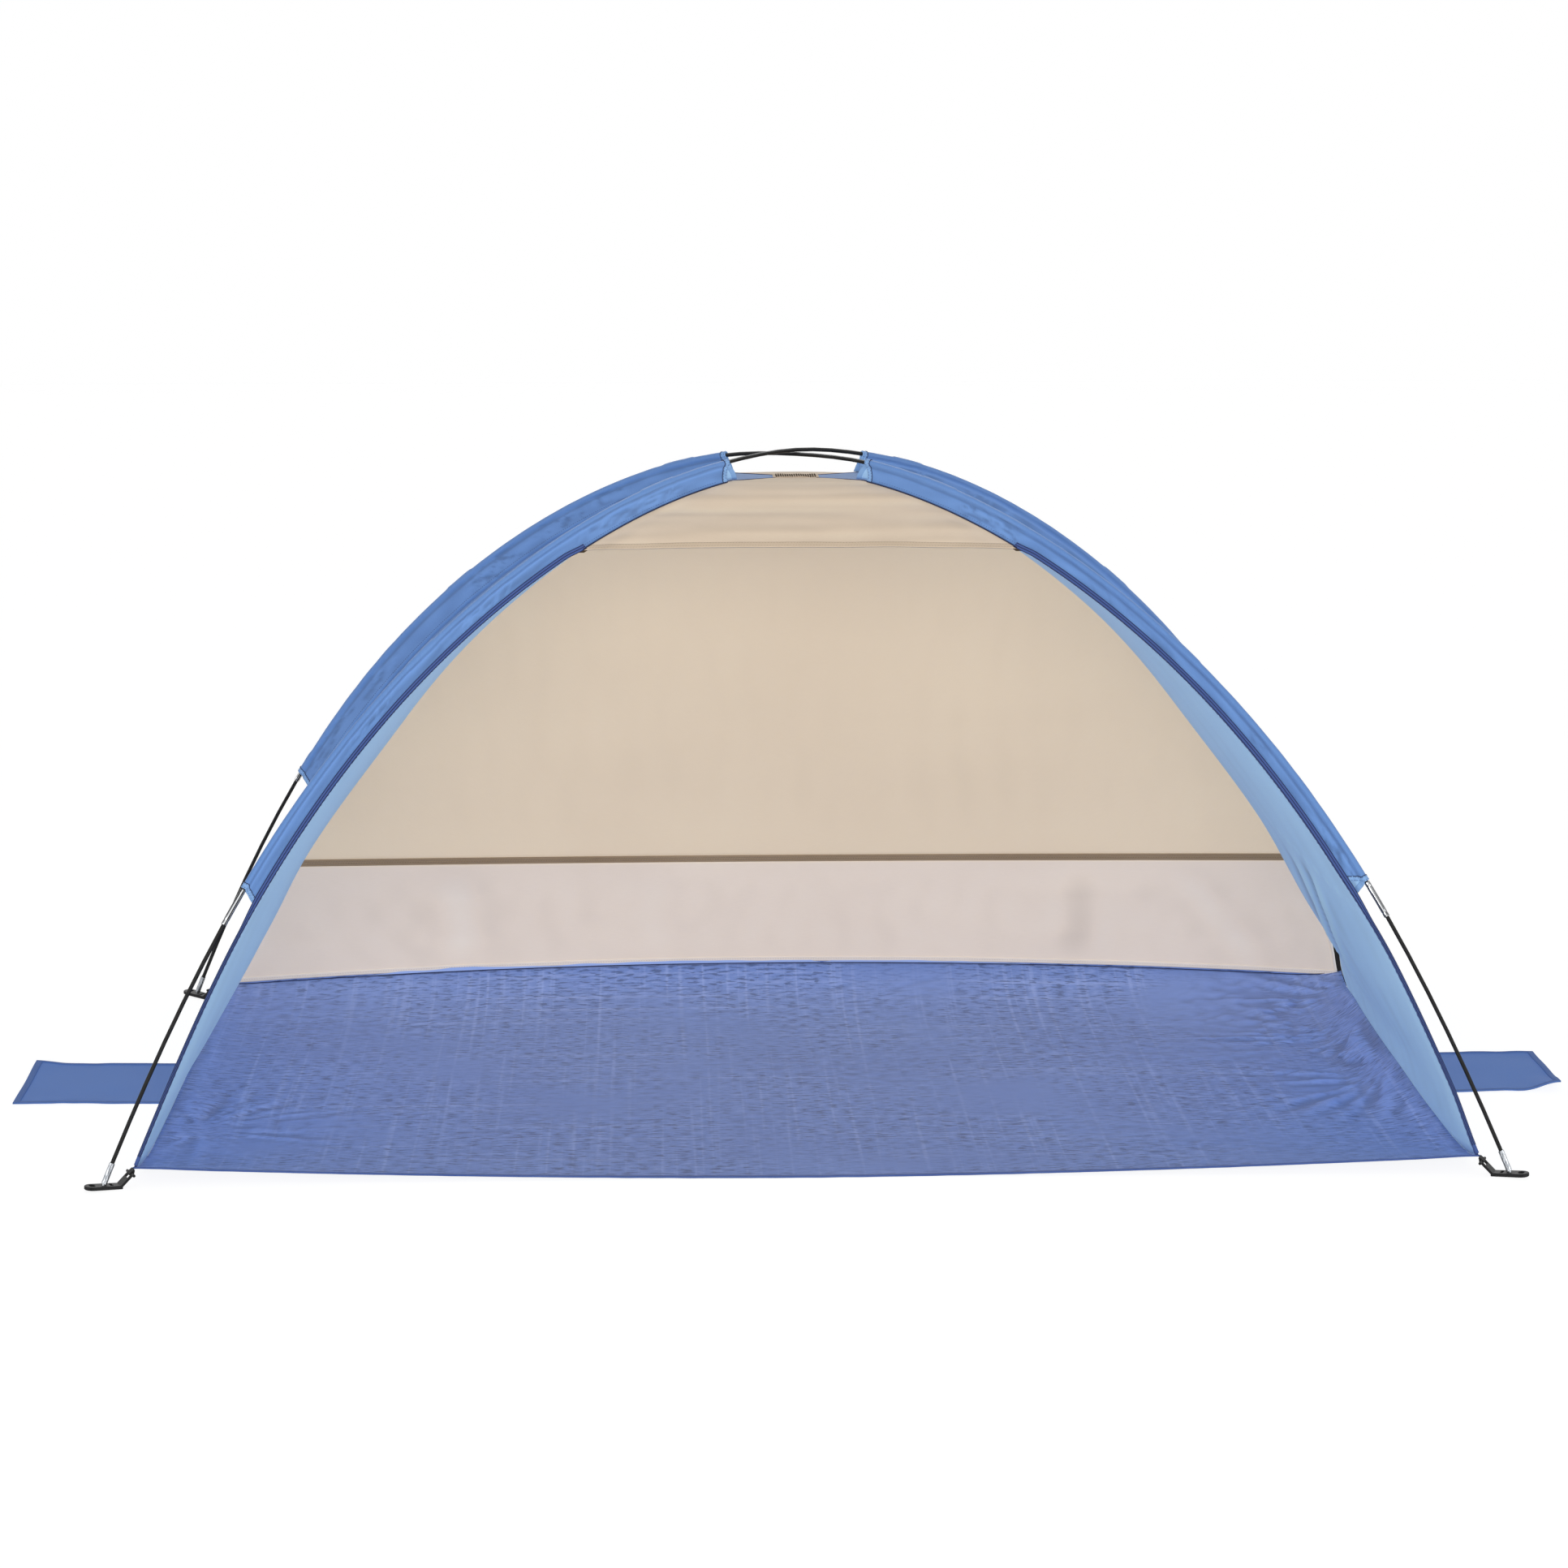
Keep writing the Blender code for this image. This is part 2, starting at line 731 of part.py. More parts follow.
def foot_heading(corner):
    direction = outward(corner)
    return math.atan2(direction.y, direction.x) + corner[0] * foot_yaw


def make_foot(name, pivot, heading, pin_run):
    heel_half = plate_heel_width / 2
    nose_radius = plate_width / 2
    nose = arc(plate_reach - nose_radius, 0, nose_radius, -math.pi / 2, math.pi / 2,
               round_sides // 2)
    outlines = [
        nose + [(-plate_reach, heel_half), (-plate_reach, -heel_half)],
        slot_outline(peg_slot_offset, peg_slot_length, peg_slot_width),
        slot_outline(strap_slot_offset, strap_slot_length, strap_slot_width),
    ]
    foot = plate(name, outlines, plate_thickness, plate_edge_round, foot_black)
    turn = Matrix.Rotation(heading, 4, "Z") @ Matrix.Rotation(-plate_tilt, 4, "Y")
    foot.location = pivot
    foot.rotation_euler = turn.to_euler()
    arm_middle = Matrix.Translation(arm_foot + arm_run * arm_length / 2)
    arm = block(f"{name}_arm", (arm_thickness, arm_width, arm_length), arm_middle @ arm_turn)
    combine(foot, "UNION", arm)
    fork_middle = Matrix.Translation(
        arm_foot + arm_run * (arm_length - fork_depth / 2 + cut_overrun / 2))
    fork_size = (arm_thickness + cut_overrun, fork_width, fork_depth + cut_overrun)
    fork = block(f"{name}_fork", fork_size, fork_middle @ arm_turn)
    combine(foot, "DIFFERENCE", fork)
    bar = round_bar(f"{name}_bar", bar_radius, bar_length, bar_frame)
    combine(foot, "UNION", bar)
    local_run = turn.to_3x3().inverted() @ pin_run
    hole_frame = up.rotation_difference(local_run).to_matrix().to_4x4()
    hole = round_bar(
        f"{name}_hole", pin_radius + pin_play, 2 * plate_thickness + cut_overrun, hole_frame)
    combine(foot, "DIFFERENCE", hole)


def make_loop(name, pivot, heading, corner):
    """Webbing folded around the bar; its two ends meet the corner of the canopy."""
    side, end = corner
    bar = Matrix.Rotation(-plate_tilt, 3, "Y") @ bar_centre
    floor_corner = Vector((side * floor_corner_x, end * floor_corner_y, 0))
    reach = (floor_corner - Vector((pivot.x, pivot.y, 0))).length - seat_gap
    end_height = canopy_corner.z - floor_step / 2 - pivot.z
    wrap_radius = bar_radius + seat_gap + loop_thickness / 2
    across = [loop_width / 4 * step for step in range(-2, 3)]
    ends_x = [-math.sqrt(reach ** 2 - y ** 2) for y in across]
    tail_angle = math.atan2(end_height - bar.z, -reach - bar.x)
    wrap = arc(bar.x, bar.z, wrap_radius, tail_angle - math.pi / 2,
               tail_angle - 3 * math.pi / 2, round_sides // 3)
    rows = [[Vector((x, y, end_height + loop_end_spread / 2)) for x, y in zip(ends_x, across)]]
    for x, z in wrap:
        rows.append([Vector((x, y, z)) for y in across])
    rows.append([Vector((x, y, end_height - loop_end_spread / 2))
                 for x, y in zip(ends_x, across)])
    turn = Matrix.Rotation(heading, 3, "Z")
    rows = [[turn @ point + pivot for point in row] for row in rows]
    sheet(name, rows, loop_thickness, loop_black, pivot)


make_side_wall("side_wall_left", left)
make_side_wall("side_wall_right", right)
make_edge_binding("front_edge_binding_left", left)
make_edge_binding("front_edge_binding_right", right)
make_awning()
make_rear_panel_and_tape()
make_vent_binding("vent_binding_left", left)
make_vent_binding("vent_binding_right", right)
make_vent_flap()
make_apex_patch()
make_floor()
make_sand_flap("sand_flap_left", left)
make_sand_flap("sand_flap_right", right)
for pole_name in poles:
    make_pole(pole_name)
for corner_name, corner_signs in corners.items():
    make_sleeve(f"sleeve_{corner_name}", corner_signs)
    pole_tip = make_tip(f"pole_tip_{corner_name}", corner_signs)
    swivel = foot_pivot(corner_signs, pole_tip)
    swivel_heading = foot_heading(corner_signs)
    make_foot(f"foot_{corner_name}", swivel, swivel_heading, tip_run(corner_signs))
    make_loop(f"corner_loop_{corner_name}", swivel, swivel_heading, corner_signs)
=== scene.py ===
"""Beach tent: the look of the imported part.

Cloth pieces are grown from the same arches and seams as the part, at a finer step, with their
own folds, hems and stitching. The ferrules become tubes rolled in near both ends. The rods, pole
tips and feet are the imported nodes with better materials.
"""

import json
import math
from functools import lru_cache

import bpy
import numpy as np
from mathutils import Matrix, Vector, noise


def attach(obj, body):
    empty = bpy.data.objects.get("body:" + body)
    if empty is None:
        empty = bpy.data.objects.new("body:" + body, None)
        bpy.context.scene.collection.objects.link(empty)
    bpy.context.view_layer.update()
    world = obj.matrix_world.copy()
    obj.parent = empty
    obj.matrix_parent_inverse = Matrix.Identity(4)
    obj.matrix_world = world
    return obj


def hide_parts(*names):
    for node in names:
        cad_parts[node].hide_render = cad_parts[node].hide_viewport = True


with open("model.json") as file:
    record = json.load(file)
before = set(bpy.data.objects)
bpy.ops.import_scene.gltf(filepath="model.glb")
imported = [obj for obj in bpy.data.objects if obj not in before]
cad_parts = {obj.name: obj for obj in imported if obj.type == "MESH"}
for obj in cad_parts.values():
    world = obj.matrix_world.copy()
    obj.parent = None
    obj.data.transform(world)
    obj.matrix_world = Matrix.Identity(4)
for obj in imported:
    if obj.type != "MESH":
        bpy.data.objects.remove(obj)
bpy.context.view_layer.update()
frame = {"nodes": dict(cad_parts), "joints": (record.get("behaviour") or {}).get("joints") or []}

# Sizes of the part, in metres; a share along a pole is 0 at the crossing and 1 at a foot
half_span_x = 0.978
half_span_y = 0.587
arch_height = 0.960
arch_shares = (0.083, 0.441, -0.273)
rod_radius = 0.003
ferrule_radius = 0.004
ferrule_length = 0.056
section_count = 7
section_shift = 0.020
cloth_thickness = 0.0010
sleeve_thickness = 0.0008
sleeve_depth = 0.028
corner_draw = 0.007
tip_share = 0.020
sleeve_top_share = 0.104
awning_hem_share = 0.340
sleeve_end_share = 0.802
tape_share = 0.884
corner_share = 0.983
vent_binding_width = 0.008
awning_hem_width = 0.014
awning_hem_pull_share = 0.010
tape_width = 0.012
side_sag_share = 0.038
rear_sag_share = 0.030
rear_rise = 0.034
rear_pull = 0.010
front_pull = 0.006
front_lift_power = 1.8
lift_power = 6
floor_margin = 0.003
floor_step = 0.0011
sand_flap_width = 0.240
sand_flap_length = 0.234
sand_flap_gap = 0.0006
plate_reach = 0.026
plate_tilt = math.radians(4)
foot_yaw = math.radians(7)
arm_inset = 0.003
arm_angle = math.radians(47)
arm_length = 0.0235
bar_radius = 0.0021
loop_width = 0.012
loop_thickness = 0.0010
loop_end_spread = 0.0016
seat_gap = 0.0003

left, right = -1, 1
front, rear = -1, 1
sides = ((left, "left"), (right, "right"))
corners = {"front_left": (left, front), "front_right": (right, front),
           "rear_left": (left, rear), "rear_right": (right, rear)}

# How the real cloth departs from an even tent
rear_seam_pull = 0.011
rear_corner_pull = 0.016
front_corner_push = 0.005
wall_fade = {left: (0.84, 1.0), right: (0.825, 0.995)}
wall_skirt = {left: 0.004, right: -0.008}
wall_foot_tuck = {left: 0, right: 0.0035}
floor_edge_rise = {left: 0.010, right: 0.040}
tape_bow = 0.004
rear_top_bow = 0.005

# Steps along an arch, the inner place that gives an edge its direction, and thread sizes
arch_steps = 600
edge_inset = 0.96
seam_allowance = 0.0012
hem_thickness = 0.0024
line_radius = 0.0007
up = Vector((0, 0, 1))
diagonal = math.hypot(half_span_x, half_span_y)


def smooth_step(value):
    value = min(max(value, 0.0), 1.0)
    return value * value * (3 - 2 * value)


def between(value, start, end):
    return smooth_step((value - start) / (end - start))


def bump(value, centre, width):
    return math.exp(-((value - centre) / width) ** 2)


def rough(*place):
    return noise.noise(Vector(place))


# The arches and the surfaces between them

def arch_z(share):
    square = share * share
    swell = sum(value * square ** (power + 1) for power, value in enumerate(arch_shares))
    return arch_height * (1 - square) * (1 + swell)


def arch_slope(share):
    step = 1 / arch_steps
    return (arch_z(share + step) - arch_z(share - step)) / (2 * step)


def outward(corner):
    return Vector((corner[0] * half_span_x, corner[1] * half_span_y, 0)) / diagonal


def arch_point(corner, share):
    return outward(corner) * (share * diagonal) + up * arch_z(share)


def arch_normal(corner, share):
    return (up * diagonal - outward(corner) * arch_slope(share)).normalized()


def share_run(length, share):
    return length / math.hypot(diagonal, arch_slope(share))


@lru_cache(maxsize=None)
def seam(corner, share):
    held = max(share, sleeve_top_share)
    draw = between(held, sleeve_end_share, corner_share)
    depth = sleeve_depth + corner_draw * draw
    point = arch_point(corner, held) - arch_normal(corner, held) * depth
    level = Vector((point.x, point.y, 0)) * (share / held)
    if corner[1] == rear:
        middle = math.sin(math.pi * min(max((share - 0.15) / 0.75, 0), 1)) ** 2
        level.x -= corner[0] * rear_seam_pull * middle
    if corner == (right, rear):
        eased = 1 - 0.6 * between(share, 0.955, corner_share)
        level.x += rear_corner_pull * between(share, 0.865, 0.95) * eased
    if corner == (right, front):
        eased = 1 - between(share, 0.94, corner_share)
        level.x += front_corner_push * between(share, 0.78, 0.86) * eased
    return level + up * point.z


canopy_corner = seam(corners["front_left"], corner_share)
canopy_corner = Vector([abs(value) for value in canopy_corner])
floor_middle = cloth_thickness / 2
wall_foot = floor_middle + floor_step
corner_lift = canopy_corner.z - wall_foot
floor_corner_x = canopy_corner.x + floor_margin
floor_corner_y = canopy_corner.y + floor_margin


def side_wall(side, share, position):
    start, end = seam((side, front), share), seam((side, rear), share)
    point = start.lerp(end, (position + 1) / 2)
    inward = Vector((side * arch_slope(share), 0, -half_span_x)).normalized()
    onset = smooth_step(2 * (share - sleeve_top_share) / (sleeve_end_share - sleeve_top_share))
    fade = 1 - between(share, *wall_fade[side])
    crown = 1 - position ** 2
    slack = 0.009 * bump(share, 0.68, 0.10) - 0.002 * bump(share, 0.42, 0.10)
    point += inward * (side_sag_share * (end - start).length + slack) * onset * fade * crown
    drop = between(share, sleeve_end_share, corner_share)
    point.z -= corner_lift * drop * (1 - position ** lift_power)
    # the foot of the wall hangs nearly upright
    skirt = bump(point.z, 0.045, 0.035) * between(point.z, 0, 0.03)
    point.x += side * wall_skirt[side] * skirt * crown
    point.x -= wall_foot_tuck[side] * between(share, 0.93, 0.975) * crown
    return point


def rear_wall(share, position):
    start, end = seam((left, rear), share), seam((right, rear), share)
    point = start.lerp(end, (position + 1) / 2)
    crown = 1 - position ** 2
    inward = Vector((0, arch_slope(share), -half_span_y)).normalized()
    swell = math.sin(math.pi * min((share - tip_share) / (tape_share - tip_share), 1))
    point += inward * rear_sag_share * (end - start).length * swell * crown
    rise = between(share, tape_share, corner_share)
    point.z += rear_rise * rise * crown
    point.y -= rear_pull * rise * crown
    point.z += tape_bow * crown * between(share, 0.70, tape_share) * (1 - rise)
    point.z += rear_top_bow * crown * bump(share, 0.12, 0.04)
    return point


def awning_cloth(share, position):
    pull = awning_hem_pull_share * (share / awning_hem_share) ** 2 * (1 - position ** 2)
    drawn = max(share * (1 - pull), tip_share)
    return seam((left, front), drawn).lerp(seam((right, front), drawn), (position + 1) / 2)


@lru_cache(maxsize=None)
def floor_edge(side, along):
    """Where the raised edge of the floor meets a side wall."""
    rise = floor_edge_rise[side] * between(along, -0.95, -0.1)
    rise *= 1 - 0.7 * between(along, 0.55, 0.98)
    low, high = tape_share, corner_share
    foot = side_wall(side, corner_share, along)
    if rise < 0.001:
        return Vector((side * floor_corner_x, foot.y, foot.z - floor_step))
    target = foot.z + rise
    for _ in range(24):
        middle = (low + high) / 2
        if side_wall(side, middle, along).z > target:
            low = middle
        else:
            high = middle
    return side_wall(side, low, along) - Vector((side * seam_allowance, 0, 0))


def into_cloth(surface, row, edge):
    """A point on the edge of a surface, and the direction from there into the cloth."""
    start = surface(row, edge)
    return start, (surface(row, edge * edge_inset) - start).normalized()


def floor_point(across, along):
    side = right if across > 0 else left
    reach = abs(across)
    crown = 1 - across ** 2
    lift = corner_lift * abs(along) ** lift_power
    if along < 0:
        lift *= reach ** front_lift_power
    else:
        lift += rear_rise * crown * along ** lift_power
    y = along * floor_corner_y
    y -= rear_pull * crown * between(along, 0.85, 1)
    y += front_pull * crown * between(-along, 0.75, 1)
    edge = floor_edge(side, along)
    turn = max((reach - 0.90) / 0.10, 0)
    base = floor_middle + lift
    x = side * (reach * abs(edge.x))
    return Vector((x, y, base + (max(edge.z, base) - base) * turn ** 2.2))


# Materials

def linear(value):
    value /= 255
    return value / 12.92 if value <= 0.04045 else ((value + 0.055) / 1.055) ** 2.4


def colour(*levels):
    return (*[linear(level) for level in levels], 1.0)


def node(tree, kind, inputs=None, **settings):
    made = tree.nodes.new("ShaderNode" + kind)
    for name, value in settings.items():
        setattr(made, name, value)
    for key, value in (inputs or {}).items():
        if isinstance(value, bpy.types.NodeSocket):
            tree.links.new(value, made.inputs[key])
        else:
            made.inputs[key].default_value = value
    return made


def math_node(tree, operation, first, second=0.0):
    return node(tree, "Math", {0: first, 1: second}, operation=operation).outputs[0]


def times(tree, first, second):
    return math_node(tree, "MULTIPLY", first, second)


def plus(tree, first, second):
    return math_node(tree, "ADD", first, second)


def mixed(tree, share, first, second, blend="MIX"):
    made = node(tree, "Mix", {0: share, 6: first, 7: second}, data_type="RGBA", blend_type=blend)
    return made.outputs[2]


def new_shader(name):
    material = bpy.data.materials.new(name)
    material.use_nodes = True
    return material, material.node_tree, material.node_tree.nodes["Principled BSDF"]


def connect(tree, shader, tint, gloss, raised):
    for key, value in (("Base Color", tint), ("Roughness", gloss), ("Normal", raised)):
        tree.links.new(value, shader.inputs[key])


def noise_value(tree, place, scale, detail=2.0, stretch=(1, 1, 1)):
    moved = node(tree, "Mapping", {"Vector": place, "Scale": stretch}).outputs[0]
    made = node(tree, "TexNoise", {"Vector": moved, "Scale": scale, "Detail": detail})
    return made.outputs[0]


def ramp(tree, value, low, high, low_to=0.0, high_to=1.0):
    made = node(tree, "MapRange", {0: value, 1: low, 2: high, 3: low_to, 4: high_to})
    return made.outputs[0]


def fabric(name, base, shade, roughness=0.75, weave=0.0009, weave_depth=0.12, cloud=0.5,
           crease=0.0, crease_stretch=(1, 1, 1), sheen=0.1, plaid=None, twill=0.0, fold=0.25,
           specular=0.3):
    """Woven cloth; base, shade and plaid are its colours, and UV is in metres. fold sets how
    strongly painted shade darkens fold valleys and painted highlight lightens fold ridges.
    """
    base, shade = colour(*base), colour(*shade)
    # painted shade for fold valleys and floor creases, and painted highlight for fold ridges
    painted_shade = [level * 0.45 for level in shade[:3]] + [1]
    painted_highlight = [min(level * 1.5, 0.9) for level in base[:3]] + [1]
    material, tree, shader = new_shader(name)
    uv = node(tree, "UVMap").outputs[0]
    place = node(tree, "TexCoord").outputs["Object"]
    parts = node(tree, "SeparateXYZ", {0: uv}).outputs

    def wave(run, length):
        return math_node(tree, "SINE", times(tree, run, 2 * math.pi / length))

    if twill:
        cloth = wave(plus(tree, parts[0], parts[1]), twill)
    else:
        cloth = times(tree, wave(parts[0], weave), wave(parts[1], weave))
    clouds = noise_value(tree, place, 3.5, 4.0)
    grain = noise_value(tree, uv, 900, 2.0)
    yarn = noise_value(tree, uv, 60, 3.0, (1, 22, 1))
    cover = plus(tree, times(tree, clouds, cloud), times(tree, yarn, 0.35))
    cover = plus(tree, cover, times(tree, grain, 0.30))
    shades = ramp(tree, cover, 0.25 + cloud * 0.2, 0.75 + cloud * 0.55)
    tint = mixed(tree, shades, shade, base)
    tint = mixed(tree, ramp(tree, cloth, -1, 1, 0.0, 0.16 if twill else 0.08), tint, shade)
    if plaid:
        # straight pale threads both ways, and short creases across drawn as painted shade (dark
        # dashes) and painted highlight (pale dashes), both in patches
        patches = ramp(tree, noise_value(tree, uv, 3.5, 2.0), 0.32, 0.52)
        for stretch in ((1, 0.012, 1), (0.012, 0.7, 1)):
            thread = ramp(tree, noise_value(tree, uv, 110, 1.0, stretch), 0.56, 0.72, 0.0, 0.45)
            tint = mixed(tree, times(tree, thread, patches), tint, colour(*plaid))
        crease_shade_noise = noise_value(tree, uv, 62, 3.0, (0.8, 3.0, 1))
        for start, end, strength, mark in ((0.53, 0.61, 0.80, painted_shade),
                                           (0.44, 0.34, 0.45, colour(*plaid))):
            crease_shade_mark = ramp(tree, crease_shade_noise, start, end, 0.0, strength)
            tint = mixed(tree, times(tree, crease_shade_mark, patches), tint, mark)
    # painted shade: the cloth is drawn a little darker along the valleys of its folds, and painted
    # highlight draws it paler along the ridges
    place = node(tree, "Attribute", attribute_name="fold").outputs["Fac"]
    tint = mixed(tree, ramp(tree, place, -1, 0, fold, 0.0), tint, painted_shade)
    tint = mixed(tree, ramp(tree, place, 0, 1, 0.0, fold * 0.5), tint, painted_highlight)
    height = plus(tree, times(tree, cloth, weave_depth), times(tree, grain, weave_depth * 1.5))
    if crease:
        crinkle = noise_value(tree, uv, 30, 3.0, crease_stretch)
        height = plus(tree, height, times(tree, crinkle, crease))
    raised = node(tree, "Bump", {"Height": height, "Distance": 0.001, "Strength": 0.35}).outputs[0]
    gloss = ramp(tree, grain, 0.2, 0.8, roughness - 0.06, roughness + 0.06)
    connect(tree, shader, tint, gloss, raised)
    shader.inputs["Sheen Weight"].default_value = sheen
    shader.inputs["Sheen Roughness"].default_value = 0.5
    shader.inputs["Specular IOR Level"].default_value = specular
    return material


# the inside faces are paler than the outside: partly the cloth's silver coating, partly painted
# glow of light coming through the cloth
wall_inside = fabric("wall_inside_blue", (173, 210, 238), (158, 197, 229), 0.72, fold=0.6)
wall_outside = fabric("wall_outside_blue", (100, 136, 188), (82, 118, 170), 0.62)
canopy_inside = fabric("canopy_inside_beige", (232, 210, 178), (222, 199, 168), 0.78, fold=0.12)
canopy_outside = fabric("canopy_outside_beige", (214, 198, 177), (199, 180, 159), 0.70, fold=0.22)
hem_beige = fabric("hem_beige", (200, 182, 162), (182, 164, 142), 0.80, twill=0.0022)
flap_cloth = fabric("flap_beige", (233, 215, 195), (220, 201, 181), 0.78, crease=0.5)
flap_hem = fabric("flap_hem_cream", (232, 218, 204), (212, 197, 182), 0.80)
tape_brown = fabric("tape_brown", (165, 142, 115), (127, 105, 79), 0.85, weave=0.0016,
                    weave_depth=0.4, twill=0.0024)
# the vent's side bindings are the brown tape of the seam above; their near-black is painted shade
vent_binding_shade = fabric("vent_binding_black", (34, 26, 22), (20, 15, 13), 0.85)
sleeve_blue = fabric("sleeve_blue", (103, 141, 194), (81, 119, 176), 0.50, sheen=0.2, crease=0.35,
                     crease_stretch=(1, 3, 1), fold=0.5)
# the sleeve's inside is paler, as the walls' are: partly silver coating, partly painted glow of
# light through the cloth
sleeve_light = fabric("sleeve_inside_blue", (164, 198, 230), (142, 180, 218), 0.70)
# the sleeve hems are the sleeve cloth drawn paler: painted light on the hem bands
sleeve_hem_lit = fabric("sleeve_hem_painted_light_blue", (134, 170, 214), (112, 150, 198), 0.62)
binding_blue = fabric("binding_blue", (72, 94, 152), (56, 78, 134), 0.70, twill=0.0032,
                      weave_depth=0.5, sheen=0.05)
floor_cloth = fabric("floor_blue", (112, 137, 196), (94, 118, 177), 0.50, crease=0.8,
                     crease_stretch=(1, 3.5, 1), sheen=0.0, cloud=0.8, fold=0.5, specular=0.2,
                     plaid=(138, 157, 208))
# the rear lip is the floor cloth turned up, drawn paler: painted light on the upright strip
lip_lit_blue = fabric("floor_lip_painted_light_blue", (158, 178, 222), (136, 156, 204), 0.60)
seam_dark = fabric("seam_dark_blue", (40, 46, 80), (28, 33, 58), 0.80, sheen=0.0)
seam_brown = fabric("seam_brown", (84, 66, 44), (52, 40, 26), 0.85)
sand_blue = fabric("sand_flap_blue", (87, 126, 190), (74, 110, 174), 0.60, crease=0.4,
                   crease_stretch=(1, 2, 1), sheen=0.0, specular=0.15)
sand_hem = fabric("sand_hem_blue", (84, 113, 170), (68, 96, 150), 0.70, sheen=0.0, specular=0.15)
loop_black = fabric("loop_webbing_black", (34, 34, 36), (19, 19, 21), 0.85, weave=0.0018,
                    weave_depth=0.9, sheen=0.05)
thread_blue = fabric("thread_blue", (58, 78, 132), (46, 64, 114), 0.80)
thread_pale = fabric("thread_pale", (176, 160, 140), (152, 136, 116), 0.80)
thread_brown = fabric("thread_brown", (104, 84, 56), (78, 60, 38), 0.80)


def hard(name, base, shade, roughness, metallic, scale, stretch, depth, spread=0.08,
         specular=0.5, reflection_streaks=None):
    """Moulded plastic, coated rod or drawn metal; streaks, where given, run along the metal as
    painted reflections: dark and bright bands drawn in the colour.
    """
    material, tree, shader = new_shader(name)
    place = node(tree, "UVMap").outputs[0] if reflection_streaks else node(tree, "TexCoord").outputs["Object"]
    wide = noise_value(tree, place, scale, 3.0, stretch)
    fine = noise_value(tree, place, scale * 9, 2.0, stretch)
    # with streaks, shade and base are the dark and bright bands of a painted reflection
    tint = mixed(tree, ramp(tree, wide, *(reflection_streaks or (0.3, 0.7))), colour(*shade), colour(*base))
    gloss = ramp(tree, fine, 0.3, 0.7, roughness - spread, roughness + spread)
    raised = node(tree, "Bump", {"Height": fine, "Distance": 0.0004, "Strength": depth}).outputs[0]
    connect(tree, shader, tint, gloss, raised)
    shader.inputs["Metallic"].default_value = metallic
    shader.inputs["Specular IOR Level"].default_value = specular
    return material


rod_coat = hard("rod_fibreglass_black", (20, 20, 20), (11, 11, 11), 0.36, 0.0, 60, (1, 1, 1), 0.25,
                specular=0.25)
# the ferrules' near-white base and near-black shade are painted reflection streaks
ferrule_steel = hard("ferrule_steel", (236, 238, 240), (34, 36, 40), 0.20, 1.0, 420,
                     (1, 0.003, 1), 0.15, 0.03, reflection_streaks=(0.49, 0.56))
tip_steel = hard("tip_steel", (214, 218, 222), (120, 124, 130), 0.28, 1.0, 160,
                 (2.2, 2.2, 0.25), 0.2)
foot_plastic = hard("foot_plastic_black", (18, 18, 19), (10, 10, 11), 0.42, 0.0, 130, (1, 1, 1),
                    0.35, specular=0.2)


# Cloth pieces

def steps(start, end, pitch, length):
    """Evenly spaced values from start to end for a run of that length."""
    count = max(int(round(length / pitch)), 2)
    return [start + (end - start) * step / count for step in range(count + 1)]


def grid_points(surface, rows, row_columns):
    return np.array([[surface(row, column)[:] for column in row_columns] for row in rows], float)


def grid_normals(points):
    along = np.gradient(points, axis=0)
    across = np.gradient(points, axis=1)
    normals = np.cross(across, along)
    return normals / np.maximum(np.linalg.norm(normals, axis=2, keepdims=True), 1e-12)


def placed(name, data):
    obj = bpy.data.objects.new(name, data)
    bpy.context.scene.collection.objects.link(obj)
    return obj


def mesh_piece(name, verts, faces, materials, body, slot):
    mesh = bpy.data.meshes.new(name)
    mesh.from_pydata([tuple(vert) for vert in verts], [], faces)
    mesh.shade_smooth()
    for material in materials:
        mesh.materials.append(material)
    obj = placed(name, mesh)
    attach(obj, body)
    return obj


def blurred(field, reach):
    for axis in (0, 1):
        spread = [(reach, reach) if axis == side else (0, 0) for side in (0, 1)]
        padded = np.pad(field, spread, mode="edge")
        sums = np.cumsum(padded, axis=axis)
        sums = np.concatenate([np.zeros_like(np.take(sums, [0], axis=axis)), sums], axis=axis)
        count, window = field.shape[axis], 2 * reach + 1
        field = (np.take(sums, range(window, window + count), axis=axis)
                 - np.take(sums, range(count), axis=axis)) / window
    return field


